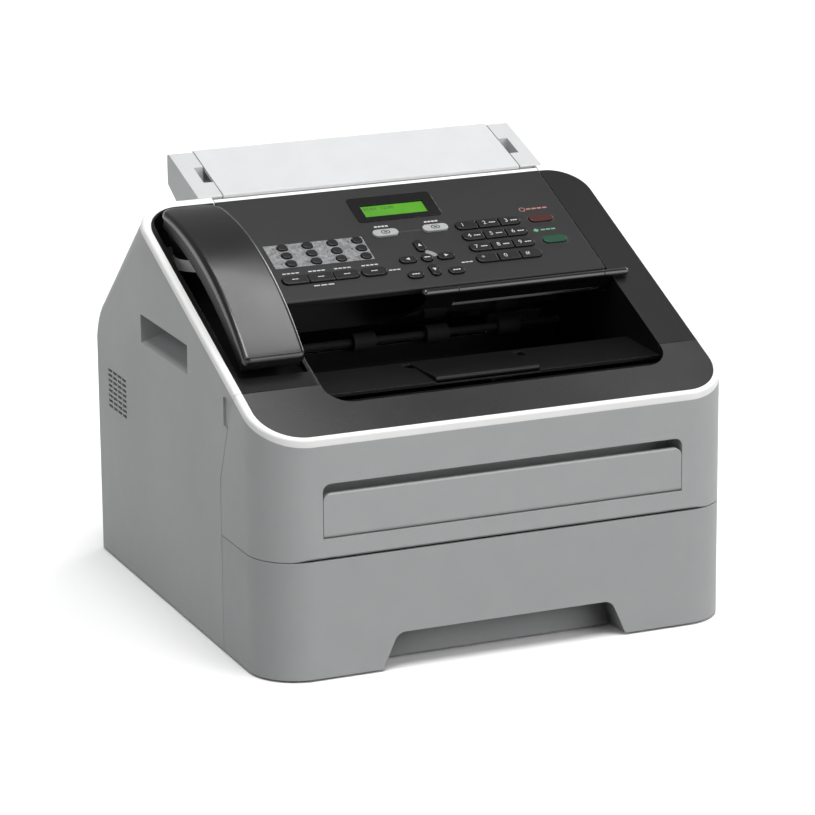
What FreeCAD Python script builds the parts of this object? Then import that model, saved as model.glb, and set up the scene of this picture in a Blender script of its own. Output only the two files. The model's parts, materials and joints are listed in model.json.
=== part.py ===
"""Desktop laser fax machine with a handset, built piece by piece.

Millimetres. x runs to the right, y to the back and z up. The origin lies on the table,
below the middle of the casing. Heights in this file count from the casing's lower edge,
which the feet hold above the table. The sloping top has its own frame: x as before, v up
the slope and n square to it.
"""
import FreeCAD, Part
import math
import os
from FreeCAD import Placement, Rotation, Vector

os.makedirs("parts", exist_ok=True)

# Casing
width = 368.0
depth = 360.0
wall = 2.5
inner_wall = 1.5
front_corner = 37.0
foot_height = 1.5
foot_radius = 9.0
foot_seat = 2.0
foot_front = (128.0, -150.0, 0.0)
foot_margin = 22.0
foot_rear = (width / 2 - foot_margin, 146.0, foot_seat)
seam = 0.6
running_gap = 0.4
snug = 0.2
touch = 0.05

# Sloping top: its tilt, its height over the middle, and the pale trim round it
panel_angle = 23.29
panel_height = 253.5
trim_height = 6.0
trim_side = 5.5
trim_front = 2.5
trim_round = 2.5
top_rear = 80.8
top_rear_corner = 28.0
top_seam = -126.5

# Back of the casing: upright, then a roll, then a slope up to the trim
rear_top = 91.5
rear_lean = 41.0
rear_roll = 40.0
rear_corner = 6.0
rear_top_corner = 34.0
roll_steps = 4
side_cover_reach = 146.0
rear_panel_front = 100.0

# Side split between the front pieces and the side covers
side_seam = -94.0
side_seam_knee = 128.0
side_seam_mid = (-111.0, 169.6)

# Paper tray
tray_top = 86.9
tray_half = 113.0
tray_front_wall = -152.0
tray_back = 157.0
tray_side_height = 58.0
tray_base = 3.0
grip_half_low = 96.0
grip_half_high = 84.0
grip_height = 26.0
grip_corner = 9.0
grip_depth = 24.0
lift_plate_half = 107.0
lift_plate_back = 10.0
lift_plate_thick = 1.5
lift_barrel = 2.0
lift_lip = 5.0
lift_window_margin = 30.0
guide_height = 26.0
guide_length = 80.0
guide_thick = 2.0
guide_foot = 40.0
guide_front = 24.0
guide_web = 11.0

# Front cover and the manual feed door in it
cover_axis_inset = 4.0
cover_axis_height = 92.0
cover_ear_margin = 51.0
cover_ear_x = width / 2 - cover_ear_margin
cover_ear_width = 6.0
cover_ear_radius = 2.0
cover_pin = 1.0
knuckle_width = 5.0
knuckle_half = 3.0
manual_margin = 44.0
manual_half = width / 2 - manual_margin
manual_low = 102.5
manual_high = 142.4
manual_door_high = 135.3
manual_door_thick = 5.0
manual_corner = 6.0
manual_depth = 28.0
manual_slot_half = 112.0
manual_slot_height = 7.0
manual_pin_reach = 1.5

# Handle recess, finger recess at the front cover's edge and air slots in the side covers
handle_front = -30.0
handle_back = 71.0
handle_low = 189.3
handle_high = 211.7
handle_depth = 22.0
finger_back = -103.0
finger_low = 170.0
finger_high = 192.0
finger_sink = 1.6
vent_front = 109.0
vent_back = 150.0
vent_low = 120.5
vent_high = 151.0
vent_columns = 4
vent_rows = 8
vent_bar = 1.8
rocker_y = 128.0
rocker_z = 62.0
rocker_length = 20.0
rocker_height = 13.0
rocker_depth = 7.0
rocker_dip = 2.4
rocker_axis = 4.5
rocker_pin = 1.0
rocker_pin_reach = 2.5
rocker_eye = 3.0

# Rear door, sockets
door_half = 118.0
door_low = 36.0
door_high = 150.0
door_barrel = 3.0
door_pin = 1.5
door_pin_reach = 4.0
door_grip_radius = 6.0
door_grip_dip = 1.5
door_grip_half = 18.0
inlet_x = 132.0
inlet_z = 58.0
inlet_width = 22.0
inlet_height = 26.0
blade_places = ((0, 5), (-5, -4), (5, -4))
blade_half = (1.0, 2.0)
blade_sink = 3.0
jack_x = -132.0
jack_z = 70.0
jack_pitch = 20.0
jack_size = 12.0
socket_depth = 14.0

# Control panel on the slope
panel_left_margin = 64.4
panel_right_margin = 36.6
panel_left = panel_left_margin - width / 2
panel_right = width / 2 - panel_right_margin
panel_front = -41.5
panel_rear = 88.0
panel_nose = 5.0
panel_lip = 5.0
panel_depth = 12.0
panel_skin = 2.5
panel_round = 1.5
panel_axis = (90.0, -5.0)
panel_pin = 2.0
panel_pin_reach = 5.0

# Output bin
bin_left = panel_left
bin_right = panel_right + running_gap
bin_front = -160.6
bin_corner = 19.0
bin_floor = 190.5
bin_ridge = -72.0
bin_ridge_height = 192.0
bin_ridge_round = 16.0
bin_low = 152.0
bin_slope_end = 40.0
bin_back = 54.0
bin_pan_floor = 185.5
flap_x = 11.0
flap_half = 40.5
flap_length = 47.0
flap_thick = 2.6
flap_lip = 4.0
flap_notch = 7.0
flap_finger = 10.0
flap_sink = 0.8

# Document path
bar_radius = 3.0
bar_v = -53.0
bar_n = 3.7
bar_left = -8.0
bar_margin = 24.0
bar_right = width / 2 - bar_margin
bar_joint_left = 20.5
bar_joint_margin = 44.5
bar_joint_right = width / 2 - bar_joint_margin
exit_plate_back = (40.0, 194.0)
exit_plate_thick = 2.0
exit_plate_behind = 7.5
exit_plate_below = 15.0
exit_plate_inset = 6.0
exit_slide_length = 56.0
sensor_y = 53.0
sensor_z = 219.0
sensor_half_depth = 9.0
sensor_half_height = 6.0
sensor_margin = 8.0
sensor_groove = 0.8
sensor_foot = 12.0
document_roller_radius = 8.0
document_roller_half = 15.0
document_roller_pitch = 70.0

# Document support and the frame that carries it
feeder_left_margin = 54.0
feeder_right_margin = 31.0
feeder_cheek_left = 20.0
feeder_cheek_right = 18.0
feeder_left = feeder_left_margin - width / 2
feeder_right = width / 2 - feeder_right_margin
support_left = feeder_left + feeder_cheek_left
support_right = feeder_right - feeder_cheek_right
support_front = (88.3, panel_height + 38.0)
support_back = (156.0, panel_height + 60.1)
support_thick = 3.0
feeder_tip = (163.0, panel_height + 39.5)
feeder_under = (136.5, panel_height + 25.1)
feeder_root = (93.0, panel_height + 3.5)
feeder_channel = 12.0
feeder_notch = (108.0, 130.0)
feeder_notch_width = 8.0
feeder_rounds = [1.5, 6.0, 5.0, 8.0, 0.0, 0.0]
feeder_corner = 9.0
inlet_slot = 7.0
inlet_depth = 22.0
inlet_ramp = 9.0
support_pin = 2.0
support_pin_reach = 5.0
support_axis_back = 5.0
doc_guide_margin = 22.5
doc_guide_length = 36.0
doc_guide_front = 110.3
doc_guide_inset = 6.0
doc_guide_foot = 24.0

# Handset and its cradle, in the sloping frame
handset_margin = 36.5
handset_x = handset_margin - width / 2
handset_half = 23.5
handset_front = -118.0
handset_back = 73.5
handset_front_n = 12.6
handset_mid_n = 30.6
handset_back_n = 10.3
handset_mid_v = -14.0
handset_shell = 6.0
handset_body = 10.0
handset_edge = 3.6
handset_front_corner = 5.0
handset_rear_corner = 14.0
handset_step = 1.2
handset_set_back = 7.0
handset_rear_set_back = 6.0
handset_swell = 1.15
handset_taper = 0.75
ear_v = 36.9
mouth_v = -88.0
ear_radius = 18.5
ear_top_radius = 23.5
ring_radius = 18.6
ring_foot_radius = 18.0
ring_bore = 13.0
ring_lip = 0.6
ear_flare = 1.5
mouth_flare = 4.0
cup_height = 24.0
ear_height = 22.0
ring_low = -18.9
ring_height = 8.7
mouth_low = -6.0
cradle_margin = 9.4
cradle_rim = 3.1
cradle_left = cradle_margin - width / 2
cradle_right = panel_left - cradle_rim
cradle_floor = -26.4
cradle_ramp = -20.0
cradle_bend = 40.0
cradle_heel = 10.0
cradle_front = -122.0
cradle_back = 85.4
hook_radius = 4.0
hook_reach = 9.0
hook_collar = 2.0

# Frame and the printing parts inside
frame_margin = 34.0
frame_x = width / 2 - frame_margin
frame_plate = 3.0
frame_top = 148.0
frame_back = 166.0
frame_set_back = 4.0
frame_chamfer = 20.0
frame_back_height = 32.0
wing_y = 20.0
deck_low = 90.0
deck_thick = 3.0
deck_short = 14.0
deck_window = 40.0
deck_window_back = -62.0
rail_inner = 105.0
rail_thick = 2.6
rail_set_back = 16.0
shaft_radius = 3.0
drum_y = -30.0
drum_z = 107.4
drum_radius = 12.0
drum_half = 115.0
cartridge_front = -84.0
cartridge_back = 4.0
cartridge_top = 150.0
cartridge_shoulder = 120.0
cartridge_nose = 9.0
cartridge_cheek = 6.0
cartridge_grip = 24.0
fuser_y = 126.0
fuser_z = 124.0
fuser_radius = 12.0
fuser_half = 112.0
pickup_y = -84.0
pickup_z = 80.0
pickup_radius = 13.0
pickup_half = 24.0
exit_y = 46.0
exit_z = 178.0
exit_radius = 7.0
exit_half = 9.0
exit_pitch = 60.0
exit_slot_margin = 10.0
exit_slot_height = 17.0
laser_front = 24.0
laser_back = 96.0
laser_high = 132.0
laser_half = 95.0
laser_slope = 24.0
laser_margin = 15.0

# Keys on the panel: x and distance up the slope, length along x and along the slope.
# The places and lengths along x hold for a panel between the two drawn edges and follow its width.
drawn_left = -119.6
drawn_right = 147.4
key_rise = 1.6
key_root = 4.0
key_clear = 0.35
key_edge = 0.7
strip_end = 0.9
dial_columns = (60.8, 78.8, 96.8)
dial_rows = (27.2, 13.2, -1.0, -15.2)
dial_key = (17.0, 9.4)
speed_columns = (-89.4, -69.5, -49.6, -29.8)
speed_rows = (23.0, 13.2, 3.3)
speed_key = (8.4, 7.2)
speed_plate = (-103.4, -24.5, -0.9, 27.5)
function_columns = (-93.9, -73.5, -53.0)
function_row = -16.8
function_key = (20.0, 9.4)
option_x = -31.2
mode_row = 28.5
mode_columns = (-4.6, 36.0)
mode_key = (20.6, 8.2)
nav_x = 15.0
nav_v = -7.2
nav_reach = 15.3
nav_key = (13.6, 7.4)
nav_button = 9.0
side_key_row = -26.0
side_key_columns = (-1.5, 31.4)
side_key = (12.4, 7.6)
action_x = 122.6
action_rows = (26.8, -0.8)
action_key = (19.6, 8.4)
window = (-19.3, 48.8, 44.6, 75.2)
screen = (-11.5, 39.5, 50.2, 65.0)
window_sink = 1.5
window_rise = 0.5
window_corner = 3.0
screen_span = (-3.5, -0.6)
plate_sink = 0.8
plate_rise = 0.3

slope = math.tan(math.radians(panel_angle))
tilt = Placement(Vector(0, 0, panel_height), Rotation(Vector(1, 0, 0), panel_angle))
upright = tilt.Rotation.inverted().multVec(Vector(0, 0, 1))
across = (panel_right - panel_left) / (drawn_right - drawn_left)
far = 400.0
nearly = 0.98


# Basic shapes

def corner_wire(points, radii, place):
    """Closed wire through points of a plane, with an arc at each corner that has a radius."""
    count = len(points)
    if not isinstance(radii, (list, tuple)):
        radii = [radii] * count
    starts, middles, ends = [], [], []
    for i in range(count):
        here = Vector(points[i][0], points[i][1], 0)
        before = (Vector(*points[i - 1], 0) - here).normalize()
        after = (Vector(*points[(i + 1) % count], 0) - here).normalize()
        if radii[i] <= 0:
            starts.append(here)
            middles.append(None)
            ends.append(here)
            continue
        half = before.getAngle(after) / 2
        reach = radii[i] / math.tan(half)
        inward = (before + after).normalize()
        starts.append(here + before * reach)
        middles.append(here + inward * (radii[i] / math.sin(half) - radii[i]))
        ends.append(here + after * reach)
    edges = []
    for i in range(count):
        if middles[i] is not None:
            arc = Part.Arc(place(starts[i]), place(middles[i]), place(ends[i]))
            edges.append(arc.toShape())
        following = starts[(i + 1) % count]
        if (following - ends[i]).Length > 1e-6:
            edges.append(Part.makeLine(place(ends[i]), place(following)))
    return Part.Wire(edges)


def prism(axis, points, low, high, radii=0):
    """Solid from an outline square to an axis: (y, z) for x, (x, z) for y, (x, y) for z."""
    places = {
        "x": lambda p: Vector(low, p.x, p.y),
        "y": lambda p: Vector(p.x, low, p.y),
        "z": lambda p: Vector(p.x, p.y, low),
    }
    ways = {"x": Vector(1, 0, 0), "y": Vector(0, 1, 0), "z": Vector(0, 0, 1)}
    face = Part.Face(corner_wire(points, radii, places[axis]))
    return face.extrude(ways[axis] * (high - low))


def rectangle(left, right, low, high):
    return [(left, low), (right, low), (right, high), (left, high)]


def box(x0, x1, y0, y1, z0, z1):
    return Part.makeBox(x1 - x0, y1 - y0, z1 - z0, Vector(x0, y0, z0))


def slab_between(xa, xb, y0, y1, z0, z1):
    """Box whose two ends along x may be given in either order."""
    return box(min(xa, xb), max(xa, xb), y0, y1, z0, z1)


def rod(radius, xa, xb, y, z):
    """Round bar along x, its ends in either order."""
    low = min(xa, xb)
    return Part.makeCylinder(radius, abs(xb - xa), Vector(low, y, z), Vector(1, 0, 0))


def tilted(shape):
    """A shape drawn flat, laid on the sloping top."""
    return shape.transformed(tilt.toMatrix())


def joined(first, *others):
    return first.fuse(list(others)).removeSplitter()


def save(name, shape):
    solids = [s.translated(Vector(0, 0, foot_height)) for s in shape.Solids]
    result = solids[0] if len(solids) == 1 else Part.makeCompound(solids)
    result.exportStep("parts/" + name + ".step")
    print(name, len(solids), round(shape.Volume / 1000, 1))


# The casing's form

def plane_z(y, rise=0.0):
    """Height of the sloping top, or of a plane below or above it, at y."""
    return panel_height + rise + slope * y


cover_axis = (-depth / 2 + cover_axis_inset, cover_axis_height)
lean = math.radians(rear_lean)
slant_reach = math.cos(lean) * rear_top + math.sin(lean) * plane_z(rear_top, -trim_height)
roll_y = depth / 2 - rear_roll
roll_z = (slant_reach - rear_roll - math.cos(lean) * roll_y) / math.sin(lean)


def slant_y(inset, rise):
    """Where the rear slope meets a plane of the top."""
    reach = slant_reach - inset - math.sin(lean) * (panel_height + rise)
    return reach / (math.cos(lean) + math.sin(lean) * slope)


def rear_wires(inset, rise, floor):
    """Sections of the casing's rear half, from the floor up to the sloping top."""
    half = width / 2 - inset

    def level(y, z, radius):
        corners = [(-half, 0), (half, 0), (half, y), (-half, y)]
        radii = [0, 0, radius - inset, radius - inset]
        return corner_wire(corners, radii, lambda p: Vector(p.x, p.y, z))

    top_y = slant_y(inset, rise)
    top_z = plane_z(top_y, rise)
    wires = [level(depth / 2 - inset, floor, rear_corner)]
    for step in range(roll_steps + 1):
        turn = lean * step / roll_steps
        y = roll_y + (rear_roll - inset) * math.cos(turn)
        z = roll_z + (rear_roll - inset) * math.sin(turn)
        share = (z - roll_z) / (top_z - roll_z)
        wires.append(level(y, z, rear_corner + share * (rear_top_corner - rear_corner)))
    v = top_y / math.cos(math.radians(panel_angle))
    corners = [(-half, 0), (half, 0), (half, v), (-half, v)]
    radii = [0, 0, rear_top_corner - inset, rear_top_corner - inset]
    top = corner_wire(corners, radii, lambda p: tilt.multVec(p) + Vector(0, 0, rise))
    return wires + [top]


def casing(inset, rise):
    """The casing's outer form, or the hollow in it, up to a plane of the top."""
    half = width / 2 - inset
    front = -depth / 2 + inset
    floor = 0.0 if inset == 0 else -wall
    profile = [(front, floor), (0, floor), (0, plane_z(0, rise)), (front, plane_z(front, rise))]
    corner = front_corner - inset
    outline = prism("z", rectangle(-half, half, front, 1), floor, far, [corner, corner, 0, 0])
    nose = prism("x", profile, -half, half).common(outline)
    tail = Part.makeLoft(rear_wires(inset, rise, floor), True, True)
    return joined(nose, tail)


def above(rise):
    """Everything above a plane of the top."""
    top = 2 * far
    profile = [(-far, plane_z(-far, rise)), (far, plane_z(far, rise)), (far, top), (-far, top)]
    return prism("x", profile, -far, far)


def front_zone(shift):
    """Everything in front of the split in the casing's sides."""
    mid_y, mid_z = side_seam_mid
    top_y, top_z = top_seam, plane_z(top_seam)
    profile = [
        (-far, -far),
        (side_seam + shift, -far),
        (side_seam + shift, side_seam_knee),
        (mid_y + shift, mid_z),
        (top_y + shift, top_z),
        (top_y + shift, far),
        (-far, far),
    ]
    return prism("x", profile, -far, far)


outer_form = casing(0, -trim_height)
skin = outer_form.cut(casing(wall, trim_height))
front_skin = skin.common(front_zone(-seam / 2))
rear_skin = skin.cut(front_zone(seam / 2))


# Covers

def handle_scoop(grow):
    """Hand hold on the right: a scoop that rises inward behind the upper edge."""
    face = width / 2
    deep = face - handle_depth
    profile = [
        (face + 1, handle_low - grow),
        (deep - grow, handle_low + handle_depth / 3 - grow),
        (deep - grow, handle_high + grow),
        (face + 1, handle_high + grow),
    ]
    if grow:
        profile[0] = (face - wall / 2, profile[0][1])
        profile[3] = (face - wall / 2, profile[3][1])
    return prism("y", profile, handle_front - grow, handle_back + grow)


def air_slots():
    """Block of short slots through the right-hand wall."""
    column = (vent_back - vent_front + vent_bar) / vent_columns
    row = (vent_high - vent_low + vent_bar) / vent_rows
    slots = []
    for i in range(vent_columns):
        for j in range(vent_rows):
            y = vent_front + i * column
            z = vent_low + j * row
            slots.append(
                box(width / 2 - 2 * wall, width / 2 + 1, y, y + column - vent_bar, z, z + row - vent_bar)
            )
    return Part.makeCompound(slots)


def finger_recess():
    """Shallow recess on the right where a finger reaches the front cover's edge."""
    points = rectangle(top_seam, finger_back, finger_low, finger_high)
    corner = finger_sink
    return prism("x", points, width / 2 - finger_sink, width / 2 + 1, [0, corner, corner, 0])


def side_cover():
    """Right-hand cover, with the hand hold, the finger recess and the air slots."""
    cover = rear_skin.common(box(side_cover_reach, far, -far, far, -1, far))
    cover = joined(cover, handle_scoop(inner_wall).cut(handle_scoop(0)))
    return cover.cut(handle_scoop(0)).cut(finger_recess()).cut(air_slots())


def mirrored(shape):
    return shape.mirror(Vector(0, 0, 0), Vector(1, 0, 0))


def rocker_hole():
    half_y = rocker_length / 2
    half_z = rocker_height / 2
    points = rectangle(rocker_y - half_y, rocker_y + half_y, rocker_z - half_z, rocker_z + half_z)
    return prism("x", points, width / 2 - 2 * wall, width / 2 + 1)


def rear_door_zone(grow):
    points = rectangle(-door_half - grow, door_half + grow, door_low - grow, door_high + grow)
    corner = rear_corner + grow
    return prism("y", points, depth / 2 - 2 * wall, depth / 2 + 1, [0, 0, corner, corner])


def jack_places():
    return [(jack_x, jack_z + i * jack_pitch) for i in range(2)]


def rear_panel():
    """Back of the casing between the side covers, open for the door and the sockets."""
    reach = side_cover_reach - seam
    panel = rear_skin.common(box(-reach, reach, rear_panel_front, far, -1, far))
    panel = joined(panel.cut(rear_door_zone(seam)), *door_bosses())
    back = depth / 2
    y, z = door_axis()
    panel = panel.cut(rod(door_pin + snug, -far, far, y, z))
    inlet = rectangle(
        inlet_x - inlet_width / 2, inlet_x + inlet_width / 2,
        inlet_z - inlet_height / 2, inlet_z + inlet_height / 2,
    )
    panel = panel.cut(prism("y", inlet, back - 2 * wall, back + 1))
    for x, z in jack_places():
        hole = rectangle(x - jack_size / 2, x + jack_size / 2, z - jack_size / 2, z + jack_size / 2)
        panel = panel.cut(prism("y", hole, back - 2 * wall, back + 1))
    return panel


def socket(x, z, half_x, half_z):
    """Open-fronted socket body that sits behind a hole in the back."""
    back = depth / 2 - wall
    rim = inner_wall
    deep = back - socket_depth
    wide = half_x + rim
    tall = half_z + rim
    body = box(x - wide, x + wide, deep, back - snug, z - tall, z + tall)
    hollow = box(x - half_x, x + half_x, deep + rim, back, z - half_z, z + half_z)
    return body.cut(hollow)


def rear_sockets():
    """Mains inlet with its three blades, and two line sockets."""
    inlet = socket(inlet_x, inlet_z, inlet_width / 2, inlet_height / 2)
    front = depth / 2 - wall - socket_depth + 1
    back = depth / 2 - wall - blade_sink
    half_x, half_z = blade_half
    for dx, dz in blade_places:
        x = inlet_x + dx
        z = inlet_z + dz
        blade = box(x - half_x, x + half_x, front, back, z - half_z, z + half_z)
        inlet = joined(inlet, blade)
    jacks = [socket(x, z, jack_size / 2, jack_size / 2) for x, z in jack_places()]
    return Part.makeCompound([inlet] + jacks)


def door_axis():
    """Hinge line of the rear door: the middle of the barrel along its lower edge."""
    return (depth / 2 - door_barrel, door_low + door_barrel)


def rear_door():
    """Door behind the fuser, with a finger dip above and a hinge barrel below."""
    back = depth / 2
    y, z = door_axis()
    points = rectangle(-door_half, door_half, z, door_high)
    plate = prism("y", points, back - wall, back, [0, 0, rear_corner, rear_corner])
    dip_y = back + door_grip_radius - door_grip_dip
    dip = rod(door_grip_radius, -door_grip_half, door_grip_half, dip_y, door_high)
    barrel = rod(door_barrel, -door_half, door_half, y, z)
    reach = door_half + door_pin_reach
    pins = rod(door_pin, -reach, reach, y, z)
    return joined(plate.cut(dip), barrel, pins)


def door_bosses():
    """Blocks inside the back that carry the door's pins."""
    y, z = door_axis()
    inner = door_half + seam
    outer = inner + door_pin_reach + inner_wall
    half = door_barrel + inner_wall
    back = depth / 2 - wall / 2
    return [slab_between(s * inner, s * outer, y - half, back, z - half, z + half) for s in (-1, 1)]


def rocker_switch():
    """Mains rocker in the right-hand side, with its two sloping faces."""
    face = width / 2
    half = rocker_length / 2 - 2.5 * running_gap
    points = [
        (face - rocker_depth, rocker_y - half),
        (face - rocker_dip, rocker_y - half),
        (face - rocker_dip, rocker_y),
        (face - snug, rocker_y + half),
        (face - rocker_depth, rocker_y + half),
    ]
    half_z = rocker_height / 2 - running_gap
    body = prism("z", points, rocker_z - half_z, rocker_z + half_z)
    return joined(body, rocker_pivot(rocker_pin, half_z + rocker_pin_reach))


def rocker_pivot(radius, half):
    """Upright pin on which the mains rocker tips."""
    foot = Vector(width / 2 - rocker_axis, rocker_y, rocker_z - half)
    return Part.makeCylinder(radius, 2 * half, foot)


def rocker_seat(cover):
    """Opens the right-hand cover for the mains rocker and gives it two bearing eyes."""
    inner = rocker_height / 2
    outer = inner + rocker_eye
    x = width / 2 - rocker_axis
    y0 = rocker_y - rocker_eye
    y1 = rocker_y + rocker_eye
    eyes = []
    for side in (-1, 1):
        ends = sorted((rocker_z + side * inner, rocker_z + side * outer))
        eyes.append(box(x - rocker_eye, width / 2 - wall / 2, y0, y1, *ends))
    cover = joined(cover, *eyes).cut(rocker_hole())
    return cover.cut(rocker_pivot(rocker_pin + snug, outer + 1))


# Pale trim round the top

def trim_ring():
    band = casing(0, 0).common(above(-trim_height))
    left = -width / 2 + trim_side
    front = -depth / 2 + trim_front
    corner = front_corner - trim_side
    rear = top_rear_corner
    inside = prism("z", rectangle(left, -left, front, top_rear), 0, far, [corner, corner, rear, rear])
    ring = band.cut(inside)
    crown = [f for f in ring.Faces if on_slope(f)][0]
    return ring.makeFillet(trim_round, crown.OuterWire.Edges)


def on_slope(face):
    """True for a face that lies in the sloping top."""
    flat = tilt.inverse()
    return all(abs(flat.multVec(v.Point).z) < 1e-3 for v in face.Vertexes)


def panel_zone(grow):
    """Upright column through the place of the control panel."""
    return box(panel_left - grow, panel_right + grow, 0, far, 0, far)


def body_trim():
    trim = trim_ring().cut(front_zone(seam / 2)).cut(panel_zone(running_gap))
    holes = panel_hinge_pin(running_gap / 2)
    return trim.cut(holes)


def front_trim():
    return trim_ring().common(front_zone(-seam / 2))


# Front cover

def manual_opening(grow):
    half = manual_half + grow
    return rectangle(-half, half, manual_low - grow, manual_high + grow)


def front_cover():
    """Front of the casing over the tray, with the manual feed pocket and its hinge knuckles."""
    low = tray_top + seam / 2
    cover = front_skin.common(box(-far, far, -far, far, low, far))
    front = -depth / 2
    radii = [0, 0, manual_corner, manual_corner]
    pocket_back = front + manual_depth
    shell = prism("y", manual_opening(wall), front + wall, pocket_back, radii)
    hollow = prism("y", manual_opening(0), front - 1, pocket_back - wall, radii)
    slot_low = manual_low + wall
    slot_high = slot_low + manual_slot_height
    slot = box(-manual_slot_half, manual_slot_half, front, pocket_back + 1, slot_low, slot_high)
    cover = joined(cover, shell).cut(hollow).cut(slot)
    for side in (-1, 1):
        cover = cover_knuckle(cover, side, low)
    reach = manual_half + manual_pin_reach + running_gap
    cover = cover.cut(rod(cover_pin + snug, -reach, reach, *manual_axis()))
    return cover.cut(lower_edge_room(low))


def cover_knuckle(cover, side, low):
    """Gives the cover a knuckle and a pin beside one arm of the frame, and room for the arm."""
    axis_y, axis_z = cover_axis
    inner = -depth / 2 + wall / 2
    x = side * cover_ear_x
    half = cover_ear_width / 2 + running_gap
    relief = box(x - half, x + half, inner, axis_y + 2 * wall, low - 1, axis_z + 2 * wall)
    near = x + side * half
    away = near + side * knuckle_width
    top = axis_z + knuckle_half
    knuckle = slab_between(near, away, inner, axis_y + cover_ear_radius, axis_z - knuckle_half, top)
    pin = rod(cover_pin, away, x - side * cover_ear_width / 2, axis_y, axis_z)
    return joined(cover.cut(relief), knuckle, pin)


def lower_edge_room(low):
    """What the cover's lower front edge gives up to be round about the hinge line."""
    axis_y, axis_z = cover_axis
    edge = box(-far, far, -far, axis_y, low - 1, axis_z)
    return edge.cut(rod(axis_z - low, -far, far, axis_y, axis_z))


def manual_axis():
    half = manual_door_thick / 2
    return (-depth / 2 + half, manual_low + running_gap + half)


def manual_feed_door():
    """Door of the manual feed, rounded along its lower edge about its pins."""
    y, z = manual_axis()
    half = manual_door_thick / 2
    side = manual_half - running_gap
    profile = rectangle(y - half, y + half, z - half, manual_door_high)
    plate = prism("x", profile, -side, side, [nearly * half, nearly * half, half / 2, half / 2])
    corners = [0, 0, manual_corner, manual_corner]
    outline = prism("y", rectangle(-side, side, 0, manual_door_high), -far, far, corners)
    reach = manual_half + manual_pin_reach
    return joined(plate.common(outline), rod(cover_pin, -reach, reach, y, z))


def front_top_strip():
    """Dark strip of the top that opens with the front cover, with the bin's front pan."""
    left = -width / 2 + trim_side + snug
    front = -depth / 2 + trim_front + snug
    corner = front_corner - trim_side
    back = top_seam - seam / 2
    outline = prism("z", rectangle(left, -left, front, back), 0, far, [corner, corner, 0, 0])
    sheet = outline.common(above(-wall)).cut(above(0))
    mouth_front = bin_front * math.cos(math.radians(panel_angle))
    rim = inner_wall
    outside = rectangle(bin_left - rim, bin_right + rim, mouth_front - rim, back - 1)
    radii = [bin_corner + rim, bin_corner + rim, 0, 0]
    pan = prism("z", outside, bin_pan_floor - rim, far, radii).cut(above(-wall / 2))
    mouth = rectangle(bin_left, bin_right, mouth_front, far)
    hollow = prism("z", mouth, bin_pan_floor, far, [bin_corner, bin_corner, 0, 0])
    return joined(sheet, pan).cut(hollow)


# Paper tray

def paper_tray():
    """Drawer with the lower front of the casing as its face."""
    face = front_skin.common(box(-far, far, -far, far, 0, tray_top - seam / 2))
    half = tray_half
    front = -depth / 2
    body = box(-half, half, tray_front_wall, tray_back, tray_base, tray_side_height)
    inside = box(
        -half + wall, half - wall, tray_front_wall + wall, tray_back - wall, tray_base + wall, far,
    )
    body = body.cut(inside)
    link_front = front + wall / 2
    link_back = tray_front_wall + wall
    link_floor = box(-half, half, link_front, link_back, tray_base, tray_base + wall)
    links = [
        box(x - wall / 2, x + wall / 2, link_front, link_back, tray_base, tray_side_height)
        for x in (-half, half)
    ]
    tray = joined(face, body, link_floor, *links)
    return grip_notch(tray, front)


def grip_notch(tray, front):
    """Hand hold in the middle of the tray's lower front edge."""
    radii = [0, 0, grip_corner, grip_corner]

    def outline(grow, low):
        wide = grip_half_low + grow
        narrow = grip_half_high + grow
        high = grip_height + grow
        return [(-wide, low), (wide, low), (narrow, high), (-narrow, high)]

    cup = prism("y", outline(wall, 0), front + wall / 2, front + grip_depth + wall, radii)
    hollow = prism("y", outline(0, -1), front - 1, front + grip_depth, radii)
    return joined(tray, cup).cut(hollow)


def lift_plate():
    """Sprung plate that lifts the front of the paper pile, with its rear hinge barrels."""
    low = tray_base + wall + running_gap
    front = tray_front_wall + 2 * wall
    half = lift_plate_half
    back = lift_plate_back
    plate = box(-half, half, front, back, low, low + lift_plate_thick)
    margin = lift_window_margin
    window = prism("z", rectangle(-margin, margin, front + 2 * margin, back - margin), 0, far, margin / 4)
    lips = [
        box(x - 1, x + 1, front + margin, back - margin, low, low + lift_lip)
        for x in (-half, half)
    ]
    barrel = rod(lift_barrel, -half + lift_lip, half - lift_lip, back, low + lift_barrel)
    return joined(plate.cut(window), barrel, *lips)


def tray_guide(side):
    """Side guide of the paper pile: an upright plate on a foot that slides on the tray floor."""
    low = tray_base + wall + running_gap
    y = guide_front
    end = y + guide_length
    quarter = guide_length / 4
    middle = y + guide_length / 2
    x = side * (tray_half - wall - inner_wall)
    inner = x - side * guide_thick
    plate = slab_between(x, inner, y, end, low, low + guide_height)
    foot = slab_between(x, x - side * guide_foot, y + quarter, end - quarter, low, low + guide_thick)
    brace = [(inner, low), (inner - side * guide_web, low), (inner, low + guide_web)]
    web = prism("y", brace, middle - guide_thick, middle + guide_thick)
    return joined(plate, foot, web)


# Frame and printing parts inside

def shaft_hole(y, z):
    return rod(shaft_radius + snug, -far, far, y, z)


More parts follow.
